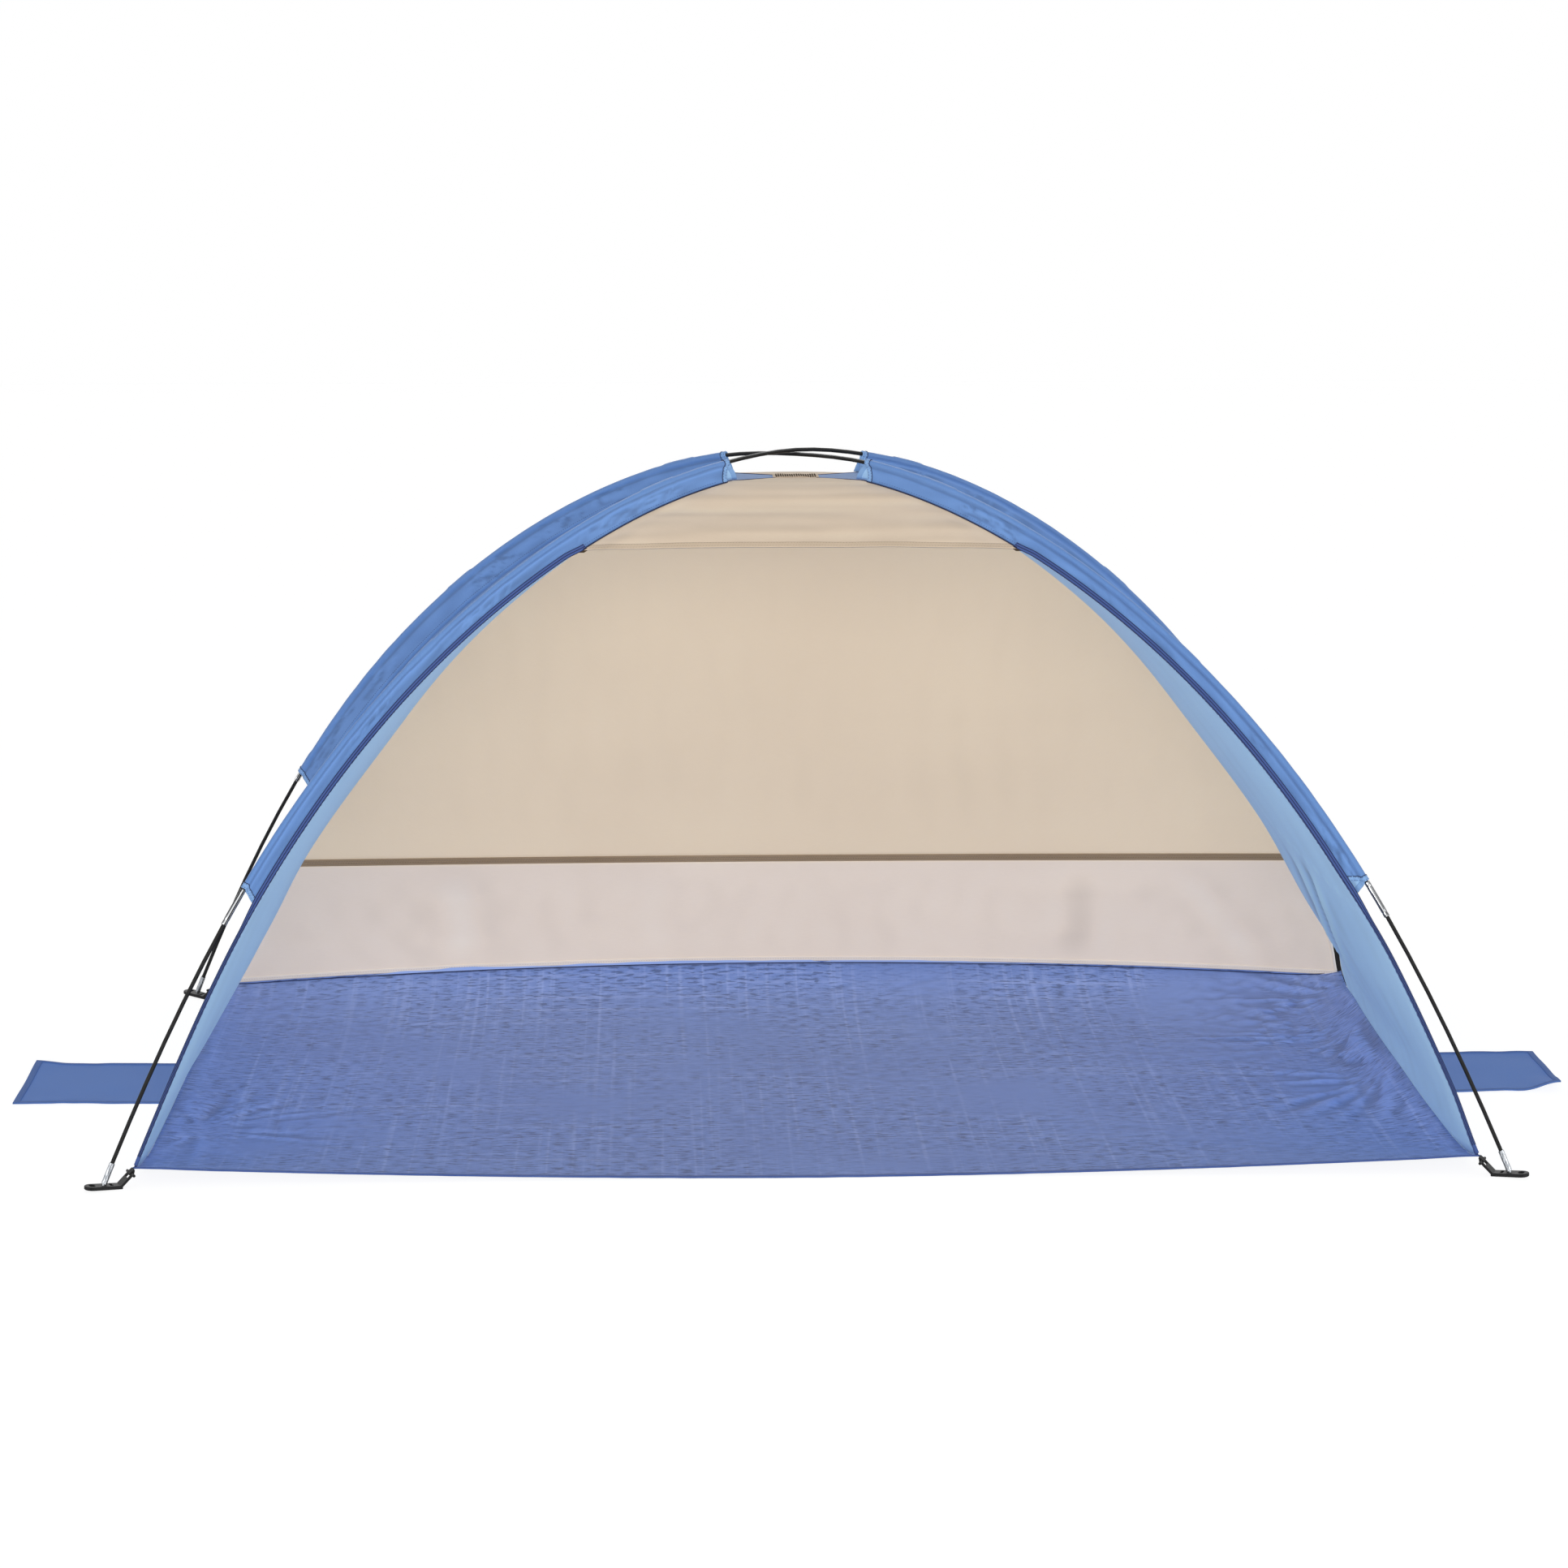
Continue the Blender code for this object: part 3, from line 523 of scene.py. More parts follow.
def cloth(name, surface, rows, row_columns, thickness, materials, body="tent", slot=None,
          relief=None, offset=0.0, nodes=(), fold_shade_depth=0.0008, fold_shade_reach=3):
    """A sheet over surface(row, column), raised along its normal by relief(row, column, point)."""
    points = grid_points(surface, rows, row_columns)
    normals = grid_normals(points)
    folds = np.zeros(points.shape[:2])
    if relief is not None:
        heights = np.array([[relief(row, column, point)
                             for column, point in zip(row_columns, line)]
                            for row, line in zip(rows, points)])
        points = points + normals * heights[:, :, None]
        # folds: how far the relief stands above or below its blurred self, drawn by the materials
        # as painted shade in valleys and painted highlight on ridges
        folds = np.clip((heights - blurred(heights, fold_shade_reach)) / fold_shade_depth, -1, 1)
    points = points + normals * offset
    count_rows, count_columns = points.shape[:2]
    faces = [
        (r * count_columns + c, r * count_columns + c + 1,
         (r + 1) * count_columns + c + 1, (r + 1) * count_columns + c)
        for r in range(count_rows - 1) for c in range(count_columns - 1)]
    obj = mesh_piece(name, points.reshape(-1, 3), faces, materials, body, slot)
    across = np.linalg.norm(np.diff(points, axis=1), axis=2)
    along = np.linalg.norm(np.diff(points, axis=0), axis=2)
    u = np.concatenate([np.zeros((count_rows, 1)), np.cumsum(across, axis=1)], axis=1)
    u -= u[:, count_columns // 2][:, None]
    v = np.concatenate([np.zeros((1, count_columns)), np.cumsum(along, axis=0)], axis=0)
    flat = np.stack([u, v], axis=2).reshape(-1, 2)
    layer = obj.data.uv_layers.new(name="UVMap")
    corner_verts = np.zeros(len(obj.data.loops), int)
    obj.data.loops.foreach_get("vertex_index", corner_verts)
    layer.data.foreach_set("uv", flat[corner_verts].ravel())
    # the fold attribute carries the painted shade and highlight mask
    marks = obj.data.attributes.new("fold", "FLOAT", "POINT")
    marks.data.foreach_set("value", np.ascontiguousarray(folds.ravel(), np.float32))
    solid = obj.modifiers.new("thickness", "SOLIDIFY")
    solid.thickness = thickness
    solid.offset = 0
    if len(materials) > 1:
        solid.material_offset = 1
    if nodes:
        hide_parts(*nodes)
    obj["flat_width"] = float(across.sum(axis=1).max())
    obj["flat_length"] = float(along.sum(axis=0).max())
    obj["flat_area"] = float(sum(face.area for face in obj.data.polygons))
    return obj


def declare(obj, with_pieces=()):
    size = (obj["flat_width"] + 0.01, obj["flat_length"] + 0.01)
    area = min(max(obj["flat_area"], 0.31 * size[0] * size[1]), size[0] * size[1])


def stitches(name, lines, material, body="tent", slot=None, pitch=0.0042, length=0.0028,
             width=0.0007, height=0.0005):
    """Rows of thread strokes; each line is (points, normals) along a seam."""
    verts, faces = [], []
    for points, normals in lines:
        points, normals = np.asarray(points), np.asarray(normals)
        runs = np.linalg.norm(np.diff(points, axis=0), axis=1)
        travelled = np.concatenate([[0], np.cumsum(runs)])
        for start in np.arange(pitch / 2, travelled[-1] - length, pitch):
            ends = [np.array([np.interp(at, travelled, points[:, k]) for k in range(3)])
                    for at in (start, start + length)]
            normal = np.array([np.interp(start, travelled, normals[:, k]) for k in range(3)])
            run = ends[1] - ends[0]
            run_length = np.linalg.norm(run)
            if run_length < length / 3:
                continue
            run /= run_length
            side = np.cross(normal, run)
            side /= max(np.linalg.norm(side), 1e-9)
            middle = (ends[0] + ends[1]) / 2
            base = len(verts)
            verts += [ends[0], middle + side * width / 2, ends[1], middle - side * width / 2,
                      middle + normal * height, middle - normal * height]
            for first, second in ((0, 1), (1, 2), (2, 3), (3, 0)):
                faces.append((base + first, base + second, base + 4))
                faces.append((base + second, base + first, base + 5))
    return mesh_piece(name, verts, faces, [material], body, slot)


def line_on(surface, places, offset, relief=None):
    """Points and normals along places (row, column) of a surface, lifted by offset."""
    points, normals = [], []
    step = 0.002
    for row, column in places:
        point = surface(row, column)
        along = surface(row + step, column) - surface(row - step, column)
        across = surface(row, column + step) - surface(row, column - step)
        normal = across.cross(along).normalized()
        lift = offset + (relief(row, column, point) if relief else 0)
        points.append((point + normal * lift)[:])
        normals.append((normal if offset >= 0 else -normal)[:])
    return points, normals


def ring(centre, first, second, radius, count):
    turns = [2 * math.pi * step / count for step in range(count)]
    return [centre + (first * math.cos(turn) + second * math.sin(turn)) * radius for turn in turns]


def skin(rows, count):
    """The faces between rings of points."""
    return [(row * count + step, row * count + (step + 1) % count,
             (row + 1) * count + (step + 1) % count, (row + 1) * count + step)
            for row in range(rows - 1) for step in range(count)]


def both_faces(surface, shares, columns, lift, relief=None):
    """Lines along rows of a surface, on both of its faces."""
    return [line_on(surface, [(share, at) for at in columns], offset, relief)
            for share in shares for offset in (lift, -lift)]


def piping(name, points, radius=line_radius):
    """A thin round dark line, sewn on."""
    count, verts, first = 6, [], None
    points = [Vector(point) for point in points]
    for number, point in enumerate(points):
        before, after = points[max(number - 1, 0)], points[min(number + 1, len(points) - 1)]
        run = (after - before).normalized()
        first = run.orthogonal() if first is None else first - run * first.dot(run)
        first = first.normalized()
        verts += ring(point, first, run.cross(first), radius, count)
    faces = skin(len(points), count)
    faces += [tuple(reversed(range(count))), tuple(range(len(verts) - count, len(verts)))]
    return mesh_piece(name, verts, faces, [seam_dark], "tent", "binding_blue")


def edge_lines(name, strip, rows, columns, radius=line_radius):
    """Dark sewn lines along a binding strip."""
    return [piping(f"{name}_line_{at + 1}", [strip(row, column) for row in rows], radius)
            for at, column in enumerate(columns)]


# Side walls

def wall_relief(side):
    def relief(share, position, point):
        x, y, z = point
        height = 0.0022 * rough(y / 0.16, z / 0.30, side * 3.1)
        height += 0.0007 * rough(y / 0.05, z / 0.11, side * 5.3)
        edge = between(1 - abs(position), 0, 0.10) * between(corner_share - share, 0, 0.03)
        # long folds that gather towards the rear corner
        if side == right:
            past = share - 0.80
            valley = -0.47 + 3.0 * past + 22 * past ** 2
            held = between(share, 0.785, 0.83) * (1 - between(share, 0.90, 0.94))
            for shift, width, depth in ((0, 0.050, -0.0060), (-0.11, 0.045, 0.0040),
                                        (0.12, 0.060, 0.0030), (0.30, 0.070, -0.0040)):
                height += depth * bump(position, valley + shift * (1 - 3 * past), width) * held
            # a thin crease higher up
            streak = -0.43 - (share - 0.769) * 9.4
            shown = between(share, 0.75, 0.77) * (1 - between(share, 0.80, 0.83))
            height += 0.0014 * bump(position, streak, 0.018) * shown
        else:
            held = between(share, 0.60, 0.9) * (1 - between(share, 0.93, corner_share))
            for centre, width, depth in ((0.30, 0.09, 0.0035), (0.62, 0.07, -0.0040)):
                height += depth * bump(position, centre, width) * held
        return height * edge
    return relief


def binding_waves(row, across, point):
    return 0.0004 * math.sin(row * 1250 + across * 900)


wall_columns = steps(-1, 1, 0.009, 1.15)


def make_side_wall(side, word):
    def wall(share, position):
        return side_wall(side, share, position * (1 - seam_allowance))

    folds = wall_relief(side)

    # the relief is a height towards the inside, and the left wall's normal points outwards
    def relief(share, position, point):
        return side * folds(share, position, point)

    obj = cloth(f"side_wall_{word}_cloth", wall, steps(tip_share, corner_share, 0.009, 1.3),
                wall_columns, cloth_thickness, [wall_inside, wall_outside][::side],
                slot="wall_blue", relief=relief, nodes=[f"side_wall_{word}"],
                fold_shade_depth=side * 0.0022, fold_shade_reach=4)

    def edge(share, across):
        start, run = into_cloth(lambda share, place: side_wall(side, share, place), share, -1)
        return start + run * across

    edge_rows = steps(awning_hem_share, corner_share, 0.003, 0.95)
    binding = cloth(
        f"edge_binding_{word}", edge, edge_rows, [-0.0006, 0.0010, 0.0035, 0.0060, 0.0075],
        0.0030, [binding_blue], slot="binding_blue", relief=binding_waves,
        nodes=[f"front_edge_binding_{word}"])

    def raised_edge(share, across):
        return edge(share, across) + Vector((0, -0.0013, 0))

    lines = edge_lines(f"edge_binding_{word}", raised_edge, edge_rows, (-0.0004, 0.0074))

    def allowance(along, across):
        """The sewn edge turned out on the ground, between the wall's foot and the sand flap."""
        foot = side_wall(side, corner_share, along)
        reach = side * (floor_corner_x - seam_allowance) - foot.x
        return Vector((foot.x + reach * across, foot.y, max(foot.z - 0.0014, floor_middle)))

    foot_strip = cloth(f"side_wall_{word}_foot", allowance, steps(-0.62, 0.62, 0.009, 0.7),
                       [-0.1, 0.2, 0.5, 0.8, 1], 0.0008, [wall_outside], slot="wall_blue",
                       relief=lambda along, across, point: 0.0002 * rough(along * 30, across, 5.5))
    declare(obj,
            [binding, foot_strip, *lines])


for side, word in sides:
    make_side_wall(side, word)


# Awning

def awning_relief(share, position, point):
    x, y, z = point
    held = between(1 - abs(position), 0, 0.15) * between(share, tip_share, 0.12)
    height = 0.0060 * rough(x / 0.60, share * 17, 1.7) + 0.0020 * rough(x / 0.30, share * 40, 4.2)
    height += 0.0016 * rough(x / 0.10 + share * 9, x / 0.16 - share * 14, 2.9)
    return height * held


hem_top = awning_hem_share - share_run(awning_hem_width, awning_hem_share)
awning_columns = steps(-0.998, 0.998, 0.008, 0.64)
awning = cloth("awning_cloth", awning_cloth, steps(tip_share, hem_top + 0.002, 0.006, 0.36),
               awning_columns, cloth_thickness, [canopy_inside, canopy_outside],
               slot="canopy_beige", relief=awning_relief, nodes=["awning"])
awning_hem = cloth("awning_hem_fold", awning_cloth, steps(hem_top, awning_hem_share, 0.002, 0.014),
                   awning_columns, hem_thickness, [hem_beige], slot="hem_beige",
                   relief=awning_relief, nodes=["awning_hem"])
awning_stitches = stitches(
    "awning_hem_stitches",
    both_faces(awning_cloth, (hem_top + 0.002, awning_hem_share - 0.003),
               steps(-0.99, 0.99, 0.01, 0.64), 0.0014, awning_relief),
    thread_pale, slot="hem_beige")
hem_tabs = [
    cloth(f"awning_hem_tab_{word}", awning_cloth,
          steps(awning_hem_share - 0.0005, awning_hem_share + 0.0045, 0.002, 0.008),
          steps(*sorted((side * 0.958, side * 0.998)), 0.003, 0.012), 0.0012, [seam_brown],
          slot="tape_brown", offset=0.0006,
          relief=lambda share, position, point: 0.0004 * rough(point[0] / 0.006, share * 300, 2.2))
    for side, word in sides]
declare(awning, [awning_hem, awning_stitches, *hem_tabs])

# Rear panel, tape and vent

tape_top = tape_share - share_run(tape_width, tape_share)
corner_run = share_run(0.003, corner_share)


def rear_relief(share, position, point):
    x, y, z = point
    held = between(1 - abs(position), 0, 0.10) * between(tape_share - share, 0, 0.04)
    height = 0.0020 * rough(x / 0.42, z / 0.16, 8.1) + 0.0003 * rough(x / 0.035, z / 0.12, 2.5)
    return height * held


rear_columns = steps(-0.9985, 0.9985, 0.011, 1.72)
rear_panel = cloth("rear_panel_cloth", rear_wall, steps(tip_share, tape_share, 0.010, 1.05),
                   rear_columns, cloth_thickness, [canopy_outside, canopy_inside],
                   slot="canopy_beige", relief=rear_relief, nodes=["rear_panel"])


def tape_ribs(share, position, point):
    return 0.0003 * math.sin((share - tape_top) / (tape_share - tape_top) * math.pi * 5)


# the flap turns in the room that both tapes leave under the seam
tape_foot = tape_share + share_run(0.0013, tape_share)
outer_tape_foot = tape_share - share_run(0.0024, tape_share)
tape_look = {"slot": "tape_brown", "relief": tape_ribs}
tape = cloth("rear_tape_ribbed", rear_wall, steps(tape_top, tape_foot, 0.0007, 0.014),
             rear_columns, 0.0010, [tape_brown], offset=-0.0012, nodes=["rear_tape"], **tape_look)
outer_tape = cloth("rear_tape_outside", rear_wall, steps(tape_top, outer_tape_foot, 0.0007, 0.010),
                   rear_columns, 0.0010, [tape_brown], offset=0.0012, **tape_look)
tape_stitches = stitches(
    "rear_tape_stitches",
    both_faces(rear_wall, (tape_top + 0.0015, outer_tape_foot - 0.0010), rear_columns, 0.0018),
    thread_brown, slot="tape_brown")
flap_top = tape_share + share_run(0.0010, tape_share)
flap_foot = corner_share - corner_run
vent_tape_start = 0.0007
side_margin = vent_tape_start + vent_binding_width + 0.0006


def flap_surface(share, position):
    width = (rear_wall(share, 1) - rear_wall(share, -1)).length / 2
    return rear_wall(share, position * (1 - side_margin / width))


def flap_relief(share, position, point):
    x, y, z = point
    free = between(share, flap_top, 0.92) * between(1 - abs(position), 0, 0.03)
    height = 0.0030 * rough(x / 0.22, z / 0.20, 12.4) + 0.0008 * rough(x / 0.05, z / 0.05, 6.2)
    for centre, lean, width, depth in ((-0.62, 0.9, 0.05, 0.005), (0.55, -0.7, 0.045, -0.004),
                                       (0.80, 0.8, 0.04, 0.003), (-0.25, 0.6, 0.07, 0.002)):
        height += depth * bump(position, centre + lean * (share - 0.93), width)
    return height * free * 0.7 * (1 - 0.75 * between(share, 0.955, corner_share))


flap_columns = steps(-1, 1, 0.009, 1.8)
flap_look = {"body": "vent_flap", "slot": "flap_beige", "relief": flap_relief}
flap_hem_thickness = 0.0026
vent_flap = cloth("vent_flap_cloth", flap_surface, steps(flap_top, flap_foot, 0.006, 0.24),
                  flap_columns, cloth_thickness, [canopy_outside, flap_cloth],
                  nodes=["vent_flap"], **flap_look)
hem_share = flap_foot - share_run(0.009, corner_share)
flap_hems = [cloth("vent_flap_foot_hem", flap_surface, steps(hem_share, flap_foot, 0.002, 0.009),
                   flap_columns, flap_hem_thickness, [flap_hem], **flap_look)]
# the side hems begin below the seam, so that the flap can be lifted
hem_start = flap_top + share_run(0.0040, tape_share)
flap_hems += [cloth(f"vent_flap_{word}_hem", flap_surface,
                    steps(hem_start, flap_foot, 0.005, 0.24),
                    steps(*sorted([side, side * 0.9955]), 0.0015, 0.006), flap_hem_thickness,
                    [flap_hem], **flap_look) for side, word in sides]
flap_stitches = stitches(
    "vent_flap_stitches",
    both_faces(flap_surface, (hem_share + 0.0015,), flap_columns, 0.0014, flap_relief),
    thread_pale, body="vent_flap", slot="flap_beige")
declare(vent_flap, [flap_hems[0], flap_stitches, *flap_hems[1:]])


def vent_tape(side, word):
    def vent_edge(share, across):
        start, run = into_cloth(rear_wall, share, side)
        return start + run * across

    return cloth(
        f"vent_edge_tape_{word}", vent_edge, steps(tape_share + 0.0014, corner_share, 0.004, 0.22),
        steps(vent_tape_start, vent_tape_start + vent_binding_width, 0.002, vent_binding_width),
        0.0012, [vent_binding_shade], slot="vent_binding_black",
        relief=lambda share, across, point: 0.0003 * math.sin(share * 900),
        nodes=[f"vent_binding_{word}"])


declare(rear_panel,
        [tape, outer_tape, tape_stitches, *[vent_tape(side, word) for side, word in sides]])

# Floor

def floor_relief(along, across, point):
    x, y, z = point
    reach = abs(across)
    patch = between(rough(x / 0.30, y / 0.20, 3.3), -0.40, 0.20)
    warp = 0.6 * rough(x / 0.1, y / 0.1, 1.1)
    crinkle = 1 - 2 * abs(rough(x / 0.034, y / 0.014, 7.7 + warp))
    height = 0.0012 * crinkle * patch * between(1 - abs(along), 0.02, 0.14)
    height += 0.0026 * rough(x / 0.30, y / 0.22, 9.4) * between(1 - abs(along), 0, 0.15)
    # crumpled cloth along both walls, and folds that fan out of the right rear corner: the middle
    # of each place, its height and its seed
    for middle_x, middle_y, size, seed in ((0.93, 0.46, 0.0085, 1.0), (-0.88, -0.28, 0.0045, 2.0),
                                           (0.90, -0.05, 0.0095, 3.0), (0.90, 0.22, 0.0100, 4.0)):
        dx, dy = x - middle_x, y - middle_y
        distance = math.hypot(dx, dy)
        fan = rough(math.atan2(dy, dx) * 6.5, distance / 0.22, seed * 7)
        fan -= 0.30 * max(1 - abs(rough(x / 0.045, y / 0.038, seed + 5)) / 0.2, 0)
        height += size * fan * bump(distance, 0.10, 0.13) * between(distance, 0.01, 0.06)
    turn = between(1 - reach, 0.0, 0.03) * (1 - 0.7 * between(abs(along), 0.9, 1))
    lifted = height + 0.0016
    # the folds stand up from the ground and never reach into it
    return (lifted + math.hypot(lifted, 0.0012)) / 2 * turn


floor_rows = steps(-1, 1, 0.0065, 1.13)
floor_columns = steps(-1, 1, 0.0065, 1.87)
floor_obj = cloth("floor_cloth", lambda along, across: floor_point(across, along), floor_rows,
                  floor_columns, cloth_thickness, [floor_cloth, binding_blue], slot="floor_blue",
                  relief=floor_relief, nodes=["floor_sheet"], fold_shade_depth=0.0012)


def front_hem(across_hem, across):
    start, run = into_cloth(floor_point, across, -1)
    return start + run * across_hem


hem = cloth("floor_front_fold", front_hem, [-0.0004, 0.0005, 0.0015, 0.0030, 0.0045, 0.0055],
            floor_columns, hem_thickness, [binding_blue], slot="binding_blue",
            nodes=["floor_front_hem"], offset=0.0008,
            relief=lambda row, column, point: 0.0003 * rough(point[0] / 0.03, 4.0, 1.0))


def rear_lip(height, across):
    return floor_point(across, 1) + Vector((0, -0.0045, 0.0008 + height))


def low_lip(height, across):
    return floor_point(across, 1) + Vector((0, -0.0026, height))


def lip_waves(height, across, point):
    return 0.0005 * rough(point[0] / 0.06, 2.0, 1.0)


def floor_lip(word, start, end, fade_in, fade_out):
    """A strip that stands up behind the floor's edge and sinks away at both ends."""
    def strip(height_share, across):
        shown = between(across, start, start + fade_in)
        shown *= 1 - between(across, end - fade_out, end)
        return rear_lip(height_share * (0.0012 + 0.0056 * shown), across)

    return cloth(f"floor_rear_lip_{word}", strip, [0, 0.25, 0.5, 0.75, 1],
                 steps(start, end, 0.008, (end - start) * 0.93), 0.0010, [lip_lit_blue],
                 slot="floor_blue", relief=lip_waves)


rear_pieces = [cloth("floor_rear_edge", low_lip, [0, 0.0013, 0.0026, 0.0039],
                     steps(-0.985, 0.985, 0.008, 1.8), 0.0012, [floor_cloth], slot="floor_blue",
                     relief=lip_waves),
               floor_lip("left", -0.74, 0.066, 0.10, 0.03),
               floor_lip("right", 0.072, 0.44, 0.03, 0.20)]
# the seam where the rear lip meets the floor, drawn near-black: painted shade of the gap there
seam_shade_line = [rear_lip(0, at) + Vector((0, -0.0006, 0)) for at in steps(-0.97, 0.97, 0.008, 1.8)]
rear_pieces.append(piping("floor_rear_seam_shade", seam_shade_line, 0.0008))
declare(floor_obj, [hem, *rear_pieces])

# Sand flaps

def make_sand_flap(side, word):
    def sand(y, run):
        far = abs(run) / sand_flap_length
        shorter = 0.960 if side == right else 1
        x = side * (floor_corner_x + sand_flap_gap) + side * abs(run) * shorter
        lift = floor_middle
        if side == right:
            curl = between(far, 0.70, 1.0) * between(-y, 0.02, 0.12)
            lift += 0.014 * curl
            x -= 0.010 * curl
        else:
            lift += 0.005 * between(far, 0.80, 1.0) * between(y, -0.02, 0.12)
        return Vector((x, y, lift))

    def waves(y, run, point):
        height = 0.0016 * rough(point[0] / 0.10, point[1] / 0.08, side * 4.4) + 0.0016
        edge = between(abs(y), 0.08, 0.12)
        height += 0.0010 * rough(point[0] / 0.030, point[1] / 0.05, side * 2.2) * edge
        return abs(height) * between(abs(run), 0.0, 0.14)

    def hem_waves(y, run, point):
        return waves(y, run, point) + 0.0007

    half = sand_flap_width / 2
    across = steps(-half, half, 0.005, sand_flap_width)
    runs = steps(0, sand_flap_length * side, 0.005, sand_flap_length)[::side]
    hem_runs = [run for run in runs if abs(run) > 0.004]
    outer_runs = [run for run in runs if abs(run) > sand_flap_length - 0.011]
    look = {"body": f"sand_flap_{word}", "slot": "sand_flap_blue"}
    flap = cloth(f"sand_flap_{word}_cloth", sand, across, runs, cloth_thickness, [sand_blue],
                 relief=waves, nodes=[f"sand_flap_{word}"], **look)
    hems = [
        cloth(f"sand_flap_{word}_hem_{at + 1}", sand, rows, columns, 0.0022, [sand_hem],
              relief=hem_waves, **look)
        for at, (rows, columns) in enumerate((
            (steps(-half, -half + 0.008, 0.002, 0.008), hem_runs),
            (steps(half - 0.008, half, 0.002, 0.008), hem_runs), (across, outer_runs)))]
    declare(flap, hems)


for side, word in sides:
    make_sand_flap(side, word)

# Sleeves

def pole_run(corner):
    """Shares, points and travelled lengths along a pole, from this corner to the opposite one."""
    shares = [1 - 2 * step / arch_steps for step in range(arch_steps + 1)]
    points = [outward(corner) * (share * diagonal) + up * arch_z(share) for share in shares]
    lengths = [(last - first).length for first, last in zip(points, points[1:])]
    return shares, points, np.cumsum([0.0] + lengths)


def joint_shares(corner):
    """Shares of the ferrule middles on the half of the pole that ends at this corner."""
    shares, _, runs = pole_run(corner)
    total, found = runs[-1], []
    for number in range(1, section_count):
        target = total * number / section_count - section_shift
        if corner[1] == rear:
            target = total - target
        found += [share for run, share in zip(runs, shares)
                  if share > 0 and abs(run - target) < total / 1190][:1]
    return found


# A sleeve has two flat faces and an arc over the pole, in this many columns
face_columns, arc_columns = 9, 12
all_columns = 2 * face_columns + arc_columns
face_end = face_columns / all_columns
# how far the cloth hugs the rod, beyond half a turn
hug = math.radians(22)
sleeve_foot = 0.008


def sleeve_surface(corner):
    side, end = corner
    joints = joint_shares(corner)

    @lru_cache(maxsize=None)
    def section(share):
        normal = arch_normal(corner, share)
        sideways = outward(corner).cross(up) * (side * end)
        centre = arch_point(corner, share)
        half_ferrule = share_run(ferrule_length / 2, share)
        swell = max([1 - between(abs(share - joint) / half_ferrule, 0.93, 1.05)
                     for joint in joints])
        radius = rod_radius + 0.0009 + 0.0011 * swell
        radius += abs(0.0006 * rough(share * 30, side, end))

        def foot(surface, edge):
            start, run = into_cloth(surface, share, edge)
            across = (normal - run * normal.dot(run)).normalized()
            return start + run * sleeve_foot + across * 0.0014

        side_foot = foot(lambda row, place: side_wall(side, row, place), end)
        if end == rear:
            end_foot = foot(rear_wall, side)
        else:
            closed = between(share, awning_hem_share - 0.004, awning_hem_share + 0.02)
            over = foot(awning_cloth, side) if closed < 1 else side_foot
            edge = seam(corner, share) - sideways * 0.0022 + normal * 0.001
            end_foot = over.lerp(edge, closed)
        return centre, normal, sideways, radius, side_foot, end_foot

    def surface(share, at):
        """at runs from 0 at the side foot to 1 at the end foot."""
        centre, normal, sideways, radius, side_foot, end_foot = section(share)
        last = 1 - face_end

        def rim(angle):
            return (centre + sideways * (radius * math.cos(angle))
                    + normal * (radius * math.sin(angle)))

        if at < face_end or at > last:
            # two flat faces, sewn together just under the pole
            turn = 1 if at < face_end else -1
            raised = 1 - (1 - min(at, 1 - at) / face_end) ** 1.5
            start = side_foot if turn == 1 else end_foot
            end = rim(-hug) if turn == 1 else rim(math.pi + hug)
            pinch = bump((1 - raised) * (end - start).length, 0.0042, 0.0026)
            bow = 0.0010 * math.sin(math.pi * raised) * (1 - pinch)
            return start.lerp(end, raised) - sideways * turn * (0.0016 * pinch + bow)
        return rim(-hug + (math.pi + 2 * hug) * (at - face_end) / (last - face_end))

    def relief(share, at, point):
        depth = min(at, 1 - at) / face_end
        if depth >= 1:
            return 0.0
        length = share * 1.25
        raised = 1 - (1 - depth) ** 1.5
        which = 5 if at > 0.5 else 0
        seed = corner[0] + 2 * corner[1]
        gathered = between(rough(length / 0.11, which + 0.3, seed), -0.20, 0.35)
        shape = math.sin(math.pi * min(raised, 1)) ** 0.6
        height = 0.0016 * rough(length / 0.05, raised * 1.2, which + seed + 4)
        height -= 0.0011 * bump((1 - raised) * sleeve_depth, 0.0050, 0.0022) / max(shape, 0.3)
        for lean, pitch, across, depth in ((-0.10, 0.065, 1.7, 0.0016),
                                           (0.05, 0.030, 1.1, 0.0010)):
            place = rough((length + raised * lean) / pitch, raised * across,
                          which + seed * 2.1 + lean)
            height -= depth * max(1 - abs(place) / 0.16, 0) * gathered
        return height * shape

    return surface, relief


def foot_line(surface, share, across):
    """On the front face of a sleeve, across from its sewn foot; it runs on below the sleeve."""
    start = surface(share, 1)
    rise = (surface(share, 0.80) - start).normalized()
    run = surface(share + 0.003, 1) - surface(share - 0.003, 1)
    away = run.cross(rise).normalized() * 0.0013
    return start + rise * across + (away if away.y < 0 else -away)


sleeve_columns = [step / all_columns for step in range(all_columns + 1)]
line_columns = [0.01 + 0.98 * step / 60 for step in range(61)]
hem_run = 0.008


